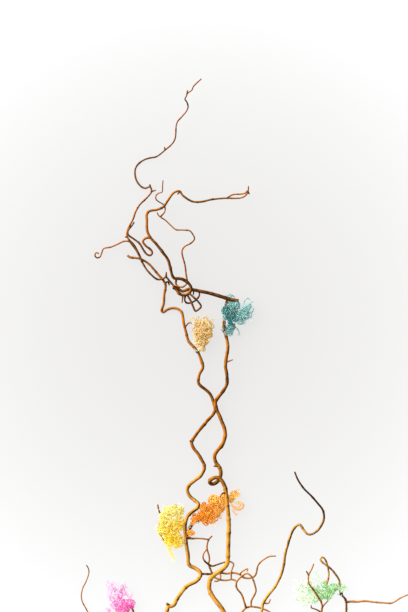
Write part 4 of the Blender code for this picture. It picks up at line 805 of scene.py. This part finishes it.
def close_ring(piece, ring, sides):
    """Close a tube's open end at this ring of points with one face, and leave the face selected."""
    take(piece)
    bpy.ops.object.mode_set(mode="EDIT")
    bpy.ops.mesh.select_mode(type="VERT")
    bpy.ops.mesh.select_all(action="DESELECT")
    bpy.ops.object.mode_set(mode="OBJECT")
    for k in range(ring * sides, (ring + 1) * sides):
        piece.data.vertices[k].select = True
    bpy.ops.object.mode_set(mode="EDIT")
    bpy.ops.mesh.edge_face_add()


def cut_face(piece, radius):
    """Turn the selected end face into a cut: a rim of bark, pale wood and the darker pith."""
    bpy.ops.mesh.select_mode(type="FACE")
    bpy.ops.mesh.inset(thickness=radius * RIM)
    piece.active_material_index = 1
    bpy.ops.object.material_slot_assign()
    bpy.ops.mesh.inset(thickness=radius * PALE_WOOD, depth=-radius * SUNK)
    bpy.ops.mesh.inset(thickness=radius * PITH_RIM)
    piece.active_material_index = 2
    bpy.ops.object.material_slot_assign()


def shoot(name, radii, squares, looks, rng):
    """One stem or twig, and the places, directions, radii and sides of its buds."""
    bark = settings("bark")
    kind = STEM if name in STEMS else TWIG
    route = smooth_route(squares, kind["step"])
    along = lengths_along(route)
    radius = (spread_along(along, radii) + FULLER.get(name, kind["fuller"])) * MM
    # How dark the bark is along the shoot, partly painted shade
    dark_and_shade = spread_along(along, DARKENING.get(name, USUAL_DARKENING))

    def bump(middle, reach):
        return np.exp(-((along - middle) / reach) ** 2)

    buds = []
    where = bark.node_spacing * rng.uniform(*FIRST_BUD)
    side = rng.uniform(0, math.tau)
    while where < along[-1] - BARE_TIP:
        radius = radius * (1 + bark.node_swell * bump(where, SWELL_REACH))
        dark_and_shade = np.maximum(dark_and_shade, RING_DARK * bump(where, RING_REACH))
        at = int(np.argmin(abs(along - where)))
        if 0 < at < len(route) - 1:
            buds.append((route[at], route[at + 1] - route[at - 1], radius[at], side))
        side += math.pi * rng.uniform(*BUD_TURN)
        where += bark.node_spacing * rng.uniform(*BUD_GAP) * kind["bud_gap"]
    radius = radius * (1 + RIPPLE * sum(np.sin(along * rng.uniform(*RIPPLE_PACE) + rng.uniform(0, math.tau))
                                        for _ in range(RIPPLES)))
    if CUT_ENDS.get(name) != "root":
        radius = radius * (1 + FLARE * np.exp(-along / FLARE_REACH))
        dark_and_shade = np.maximum(dark_and_shade, FORK_DARK * bump(radius[0], FORK_REACH))
    if CUT_ENDS.get(name) != "tip":
        onward = unit(route[-1] - route[-2])
        route = np.vstack([route[:-1], route[-1] + np.outer(TIP_ON - TIP_ON[-1], onward) * radius[-1]])
        radius = np.concatenate([radius[:-1], radius[-1] * TIP_WIDE])
        dark_and_shade = np.concatenate([dark_and_shade[:-1], np.maximum(dark_and_shade[-1], TIP_DARK)])
        along = lengths_along(route)
    piece = curve_mesh(name, [(route, radius)], kind["sides"], looks[0])
    for extra in looks[1:]:
        piece.data.materials.append(extra)
    write_along(piece, along)
    write_dark_and_shade(piece, np.repeat(dark_and_shade, kind["sides"]))
    for ring, end in ((0, "root"), (len(route) - 1, "tip")):
        close_ring(piece, ring, kind["sides"])
        if CUT_ENDS.get(name) == end:
            cut_face(piece, radius[ring])
        bpy.ops.object.mode_set(mode="OBJECT")
    if kind is STEM:
        roughen(piece, bark.relief)
    return piece, buds


def write_along(piece, along):
    """Put the distance along the shoot, in metres, in the UV map; the share of a turn round it is there."""
    layer = piece.data.uv_layers.active.data
    turned = np.empty(len(layer) * 2, dtype=np.float32)
    layer.foreach_get("uv", turned)
    turned[::2] = along[np.rint(turned[::2] * (len(along) - 1)).astype(int)]
    layer.foreach_set("uv", turned)


def roughen(piece, height):
    """Lift and sink the bark a little, unevenly."""
    cloud = bpy.data.textures.get("bark_unevenness") or bpy.data.textures.new("bark_unevenness", "CLOUDS")
    cloud.noise_scale = BARK_LUMPS
    take(piece)
    lift = piece.modifiers.new("Unevenness", "DISPLACE")
    lift.texture = cloud
    lift.texture_coords = "LOCAL"
    lift.strength = height
    lift.mid_level = 0.5
    bpy.ops.object.modifier_apply(modifier=lift.name)


def bud_form(look, tall):
    """One bud this tall: a pointed scale, blunt at its base and a little flat towards the twig."""
    deselect()
    bpy.ops.mesh.primitive_uv_sphere_add(segments=8, ring_count=6, radius=0.5)
    form = bpy.context.object
    bpy.ops.object.mode_set(mode="EDIT")
    bpy.ops.transform.resize(value=BUD_SHAPE)
    bpy.ops.object.mode_set(mode="OBJECT")
    for vert in form.data.vertices:
        taper = 1 - BUD_TAPER * max(0, vert.co.z + 0.1) ** 1.2
        vert.co.x *= taper
        vert.co.y *= taper
        vert.co.y += BUD_CURL * vert.co.z
    take(form)
    bpy.ops.object.shade_smooth()
    form.scale = (tall, tall, tall)
    bpy.ops.object.transform_apply(scale=True)
    form.data.materials.append(look)
    write_dark_and_shade(form, np.full(len(form.data.vertices), BUD_DARK))
    return form


def place_bud(form, spot, onward, radius, side, size):
    """A copy of the bud on a twig: its base against the bark, pointing to the tip."""
    copy = form.copy()
    copy.data = form.data.copy()
    bpy.context.scene.collection.objects.link(copy)
    up = Vector(onward).normalized()
    out = up.orthogonal().normalized()
    out = math.cos(side) * out + math.sin(side) * up.cross(out)
    lean = (up + BUD_LEAN * out).normalized()
    across = lean.cross(out).normalized()
    outward = across.cross(lean)
    where = Vector(spot) + out * radius * BUD_OUT + up * BUD_UP
    matrix = copy.matrix_world.copy()
    for row in range(3):
        matrix[row] = (across[row] * size, outward[row] * size, lean[row] * size, where[row])
    copy.matrix_world = matrix
    take(copy)
    bpy.ops.object.transform_apply(location=True, rotation=True, scale=True)
    return copy


def join(pieces, name):
    """Join pieces into one and flatten what would reach below the surface that the branch lies on."""
    take(pieces[0])
    for piece in pieces[1:]:
        piece.select_set(True)
    bpy.ops.object.join()
    joined = bpy.context.view_layer.objects.active
    joined.name = name
    joined.data.name = name
    keep_above(joined, 0)
    edit_all(joined)
    bpy.ops.mesh.normals_make_consistent(inside=False)
    bpy.ops.object.mode_set(mode="OBJECT")
    bpy.ops.object.shade_smooth_by_angle(angle=math.radians(SHARP_OVER))
    return joined


def grow(name, shoots, barks, cut, node, seed):
    """A grown piece: its shoots and buds as one mesh in place of its solid.

    Barks holds the looks by shoot, with the look of all others and of the buds under "other".
    """
    rng = random.Random(seed)
    wood, rays, pith, pith_rays = CUT_COLOURS[cut]
    ends = [cut_wood_look(cut + "cut_wood", wood, rays), cut_wood_look(cut + "pith", pith, pith_rays)]
    pieces = []
    buds = []
    for shoot_name, (radii, squares) in shoots.items():
        looks = [barks.get(shoot_name, barks["other"]), *ends]
        piece, found = shoot(shoot_name, radii, squares, looks, rng)
        pieces.append(piece)
        buds += found
    form = bud_form(barks["other"], settings("bark").bud_length)
    for spot, onward, radius, side in buds:
        size = rng.uniform(*BUD_SIZE) * min(1.0, LEAST_BUD + radius / BUD_GROWTH)
        pieces.append(place_bud(form, spot, onward, radius, side, size))
    bpy.data.objects.remove(form)
    joined = join(pieces, name)
    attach(joined, "root")
    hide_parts(node)


def random_way(rng):
    """A direction, any as likely as another."""
    return unit(np.array([rng.gauss(0, 1) for _ in range(3)]))


def curl_line(centre, curl, turns, pitch, rng):
    """The middle line of a lock that curls round and round, wider in some turns than in others."""
    axis = random_way(rng)
    across = unit(np.cross(axis, random_way(rng)))
    other = np.cross(axis, across)
    t = np.linspace(0, 1, max(LOCK_POINTS, round(turns * LOCK_POINTS)))
    angle = rng.uniform(0, math.tau) + math.tau * turns * t
    swell = curl * (1 + CURL_SWELL * np.sin(t * rng.uniform(*CURL_PACE) + rng.uniform(0, math.tau)))
    drift = np.outer((t - 0.5) ** 2 * rng.uniform(*CURL_BOW), across)
    drift = drift + np.outer(t * rng.uniform(*CURL_SLIP), other)
    round_it = np.outer(np.cos(angle) * swell, across) + np.outer(np.sin(angle) * swell, other)
    return centre + np.outer((t - 0.5) * pitch * turns, axis) + round_it + drift * curl


def loose_strands(line, count, spread, radius, rng):
    """A lock's strands: each wanders within the loose bundle and is drawn out to a point at both ends."""
    ahead = np.gradient(line, axis=0)
    ahead /= np.linalg.norm(ahead, axis=1)[:, None]
    side = np.cross(ahead, random_way(rng))
    side /= np.linalg.norm(side, axis=1)[:, None]
    other = np.cross(ahead, side)
    spare = max(1, len(line) // LEFT_OUT)
    strands = []
    for k in range(count):
        first = rng.randrange(0, spare)
        last = len(line) - rng.randrange(0, spare)
        t = np.linspace(0, 1, last - first)
        angle = math.tau * (k / count + rng.uniform(*START) + t * rng.uniform(*WANDER))
        away = spread * rng.uniform(*OUT)
        away = away * (1 + OUT_SWELL * np.sin(t * rng.uniform(*OUT_PACE) + rng.uniform(0, math.tau)))
        moved = line[first:last] + side[first:last] * (away * np.cos(angle))[:, None]
        moved = moved + other[first:last] * (away * np.sin(angle))[:, None]
        width = radius * rng.uniform(*THICKNESS) * np.sin(math.pi * t).clip(0, 1) ** BLUNT
        width[0] = width[-1] = CLOSED_END
        strands.append((moved, width))
    return strands


def tuft_strands(tuft, seed):
    """Every strand of a tuft with its tone, from 0, deep, to 1, pale."""
    rng = random.Random(seed)
    wool = settings("wool")
    heart = place(*tuft["heart"])
    reach = tuft["spread"] * GRID
    shares = [puff[5] for puff in tuft["puffs"]]
    found = []
    for _ in range(tuft["locks"]):
        across, down, height, half, depth, _ = rng.choices(tuft["puffs"], shares)[0]
        curl = wool.curl * rng.choice([rng.uniform(*sizes) for sizes in LOCK_CURLS])
        room = np.array([max(half * GRID - curl, LEAST_ROOM)] * 2 + [max(depth * MM - curl, LEAST_ROOM)])
        centre = place(across, down, height) + random_way(rng) * room * rng.uniform(*LOCK_REACH) ** RIMWARD
        line = curl_line(centre, curl, rng.uniform(*LOCK_TURNS), rng.uniform(*LOCK_PITCH), rng)
        tone = np.linalg.norm((centre - heart)[:2]) / reach + rng.uniform(*LOCK_TONE)
        count = wool.strands + rng.randrange(-1, 2)
        for strand in loose_strands(line, count, wool.lock, wool.strand, rng):
            found.append((strand, tone + rng.uniform(*STRAND_TONE)))
    for _ in range(tuft["locks"] // FLUFF_PER):
        across, down, height, half, depth, _ = rng.choices(tuft["puffs"], shares)[0]
        room = np.array([half * GRID] * 2 + [depth * MM]) * rng.uniform(*FLUFF_REACH)
        centre = place(across, down, height) + random_way(rng) * room
        curl = wool.curl * rng.uniform(*FLUFF_CURL)
        line = curl_line(centre, curl, rng.uniform(*FLUFF_TURNS), FLUFF_PITCH, rng)
        for strand in loose_strands(line, 2, wool.lock * FLUFF[0], wool.strand * FLUFF[1], rng):
            found.append((strand, 1.0))
    for wisp in tuft["wisps"]:
        line = smooth_route(wisp, WISP_STEP)
        for strand in loose_strands(line, wool.strands, wool.lock * WISP[0], wool.strand * WISP[1], rng):
            found.append((strand, rng.uniform(*WISP_TONE)))
    return found


def tuft_piece(colour, tuft, seed):
    """One tuft of wool in place of its solid."""
    found = tuft_strands(tuft, seed)
    look = wool_look("wool_" + colour, tuft["deep"], tuft["pale"], tuft["glow"])
    piece = curve_mesh("curly_wool_" + colour, [strand for strand, _ in found], STRAND_SIDES, look)
    tones = [np.full(len(points) * STRAND_SIDES, tone) for (points, _), tone in found]
    along = [np.repeat(np.linspace(0, 1, len(points)), STRAND_SIDES) for (points, _), _ in found]
    corners = np.empty(len(piece.data.loops), dtype=np.int32)
    piece.data.loops.foreach_get("vertex_index", corners)
    turned = np.column_stack([np.clip(np.concatenate(tones), 0, 1), np.concatenate(along)])[corners]
    piece.data.uv_layers.active.data.foreach_set("uv", turned.astype(np.float32).ravel())
    edit_all(piece)
    bpy.ops.mesh.remove_doubles(threshold=END_MERGE)
    keep_above(piece, LOWEST_WOOL)
    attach(piece, "root")
    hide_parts("wool_" + colour)


def tie_line(stem, across, down, turns, pitch):
    """The line of a wire wound round a shoot at this place on the grid, with a loose end."""
    radii, squares = BRANCH_SHOOTS[stem]
    route = smooth_route(squares, 0.001)
    radius = spread_along(lengths_along(route), radii) * MM
    at = int(np.argmin(np.linalg.norm(route[:, :2] - place(across, down, 0)[:2], axis=1)))
    ahead = unit(route[at + 1] - route[at - 1])
    side = unit(np.cross(ahead, [0, 0, 1.0]))
    t = np.linspace(0, 1, round(turns * WIRE_POINTS))
    angle = math.tau * turns * t + WIRE_START
    ring = np.outer(np.cos(angle), side) + np.outer(np.sin(angle), np.cross(side, ahead))
    line = route[at] + np.outer((t - 0.5) * turns * pitch, ahead)
    line = line + (radius[at] + TIE_GAP) * ring
    tail = unit(line[-1] - line[-2])
    away = unit(line[-1] - route[at])
    return np.vstack([line, [line[-1] + tail * d + away * d * WIRE_AWAY for d in WIRE_END]])


def tie_piece(colour, tuft, look):
    """One wire tie in place of its solid."""
    stem, (across, down) = tuft["stem"]
    turns, pitch = tuft["turns"]
    line = tie_line(stem, across, down, turns, pitch * MM)
    piece = curve_mesh("wire_" + colour, [(line, np.full(len(line), WIRE))], WIRE_SIDES, look)
    for ring in (0, len(line) - 1):
        close_ring(piece, ring, WIRE_SIDES)
        bpy.ops.object.mode_set(mode="OBJECT")
    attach(piece, "root")
    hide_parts("tie_" + colour)


def floor_look(stage):
    """A pale floor that shines a little, like a light table, and is whiter away from the middle."""
    looks = Looks("pale_floor")
    away = looks.value(looks.node("VectorMath", {0: looks.position(), 1: FLOOR_MIDDLE},
                                  operation="DISTANCE"), "Value")
    brightness = looks.maths("MINIMUM", away * away * FLOOR_RISE + FLOOR_DIM, FLOOR_MOST)
    lit = FLOOR_DIM * (1 - stage.glow)
    tint = looks.mix(looks.clamp((brightness - FLOOR_DIM) * 7), FLOOR_WARMTH, (1.0, 1.0, 1.0))
    shining = looks.node("VectorMath", {0: tint, "Scale": brightness - lit}, operation="SCALE")
    bare = lit / (stage.key * -KEY_WAY[2] / math.pi + stage.sky)
    return looks.finish(base_color=shade_of(FLOOR_WARMTH, bare), roughness=0.9, specular_ior_level=0.0,
                        emission_color=shining.outputs["Vector"], emission_strength=1.0)


class WILLOW_OT_grow_branch(bpy.types.Operator):
    """Grow the main branch: two winding stems, their side twigs and buds"""

    bl_idname = "willow.grow_branch"
    bl_label = "Grow the branch"

    def execute(self, context):
        bark = settings("bark")
        stem = bark_look("stem_bark", bark.golden, bark.lit_low_bark, bark.brown, 0.02, 0.70)
        twig = bark_look("twig_bark", shade_of(bark.russet, 1.5), bark.lit_low_twig_bark, bark.russet, 0.02, 0.78)
        barks = {"other": twig, **dict.fromkeys(STEM_BARKED, stem)}
        grow("willow_bark", BRANCH_SHOOTS, barks, "", "willow_branch", SEEDS["branch"])
        return {"FINISHED"}


class WILLOW_OT_grow_crown(bpy.types.Operator):
    """Grow the darker twig that hooks over the top of the branch"""

    bl_idname = "willow.grow_crown"
    bl_label = "Grow the crown twig"

    def execute(self, context):
        bark = settings("bark")
        deep = shade_of(bark.russet, 0.62)
        barks = {"crown_rod": bark_look("rod_bark", bark.golden, deep, deep, 0.08, 0.78),
                 "ring_stem": bark_look("ring_bark", bark.golden, deep, deep, 0.05, 0.70),
                 "other": bark_look("crown_bark", shade_of(bark.russet, 1.5), deep, deep, 0.04, 0.78)}
        grow("crown_bark", CROWN_SHOOTS, barks, "crown_", "crown_twig", SEEDS["crown"])
        return {"FINISHED"}


class WILLOW_OT_curl_wool(bpy.types.Operator):
    """Curl the six tufts of dyed wool"""

    bl_idname = "willow.curl_wool"
    bl_label = "Curl the wool"

    def execute(self, context):
        for number, (colour, tuft) in enumerate(WOOL.items()):
            tuft_piece(colour, tuft, SEEDS["wool"] + number)
        return {"FINISHED"}


class WILLOW_OT_wind_ties(bpy.types.Operator):
    """Wind the wire ties that hold the wool"""

    bl_idname = "willow.wind_ties"
    bl_label = "Wind the ties"

    def execute(self, context):
        look = wire_look()
        for colour, tuft in WOOL.items():
            tie_piece(colour, tuft, look)
        return {"FINISHED"}


class WILLOW_OT_set_stage(bpy.types.Operator):
    """Lay the pale floor, set the soft light and hang the camera over the branch"""

    bl_idname = "willow.set_stage"
    bl_label = "Set the stage"

    def execute(self, context):
        scene = bpy.context.scene
        stage = settings("stage")
        deselect()
        bpy.ops.mesh.primitive_plane_add(size=FLOOR_SIZE, location=(0, 0, 0))
        floor = bpy.context.object
        floor.name = "pale_floor"
        floor.data.materials.append(floor_look(stage))

        deselect()
        bpy.ops.object.light_add(type="SUN", location=(-2, 1.5, 2))
        key = bpy.context.object
        key.name = "key_light"
        key.data.energy = stage.key
        key.data.angle = math.radians(KEY_SOFTNESS)
        key.rotation_euler = Vector(KEY_WAY).to_track_quat("-Z", "Y").to_euler()
        scene.world = bpy.data.worlds.new("soft_sky")
        scene.world.use_nodes = True
        sky = scene.world.node_tree.nodes["Background"]
        sky.inputs["Color"].default_value = (1, 1, 1, 1)
        sky.inputs["Strength"].default_value = stage.sky

        deselect()
        bpy.ops.object.camera_add(location=CAMERA_PLACE, rotation=(0, 0, 0))
        camera = bpy.context.object
        camera.data.lens = CAMERA_LENS
        camera.data.clip_end = CAMERA_REACH
        bpy.context.scene.camera = camera
        scene.view_settings.view_transform = "Standard"
        return {"FINISHED"}


class WILLOW_PT_sidebar(bpy.types.Panel):
    """The steps of the branch, in order"""

    bl_idname = "WILLOW_PT_sidebar"
    bl_label = "Curly Willow Branch"
    bl_space_type = "VIEW_3D"
    bl_region_type = "UI"
    bl_category = "Willow"

    def draw(self, context):
        column = self.layout.column()
        for group in GROUPS:
            for name in settings(group).__annotations__:
                column.prop(settings(group), name)
        for operator in OPERATORS:
            column.operator(operator.bl_idname)


OPERATORS = (WILLOW_OT_grow_branch, WILLOW_OT_grow_crown, WILLOW_OT_curl_wool, WILLOW_OT_wind_ties,
             WILLOW_OT_set_stage)
GROUPS = {"bark": BarkSettings, "wool": WoolSettings, "stage": StageSettings}


def register():
    for group, kind in GROUPS.items():
        bpy.utils.register_class(kind)
        setattr(bpy.types.Scene, "willow_" + group, PointerProperty(type=kind))
    for kind in (*OPERATORS, WILLOW_PT_sidebar):
        bpy.utils.register_class(kind)


def unregister():
    for kind in (WILLOW_PT_sidebar, *reversed(OPERATORS)):
        bpy.utils.unregister_class(kind)
    for group, kind in GROUPS.items():
        delattr(bpy.types.Scene, "willow_" + group)
        bpy.utils.unregister_class(kind)


def main():
    register()
    bpy.ops.willow.grow_branch()
    bpy.ops.willow.grow_crown()
    bpy.ops.willow.curl_wool()
    bpy.ops.willow.wind_ties()
    bpy.ops.willow.set_stage()


if __name__ == "__main__":
    main()
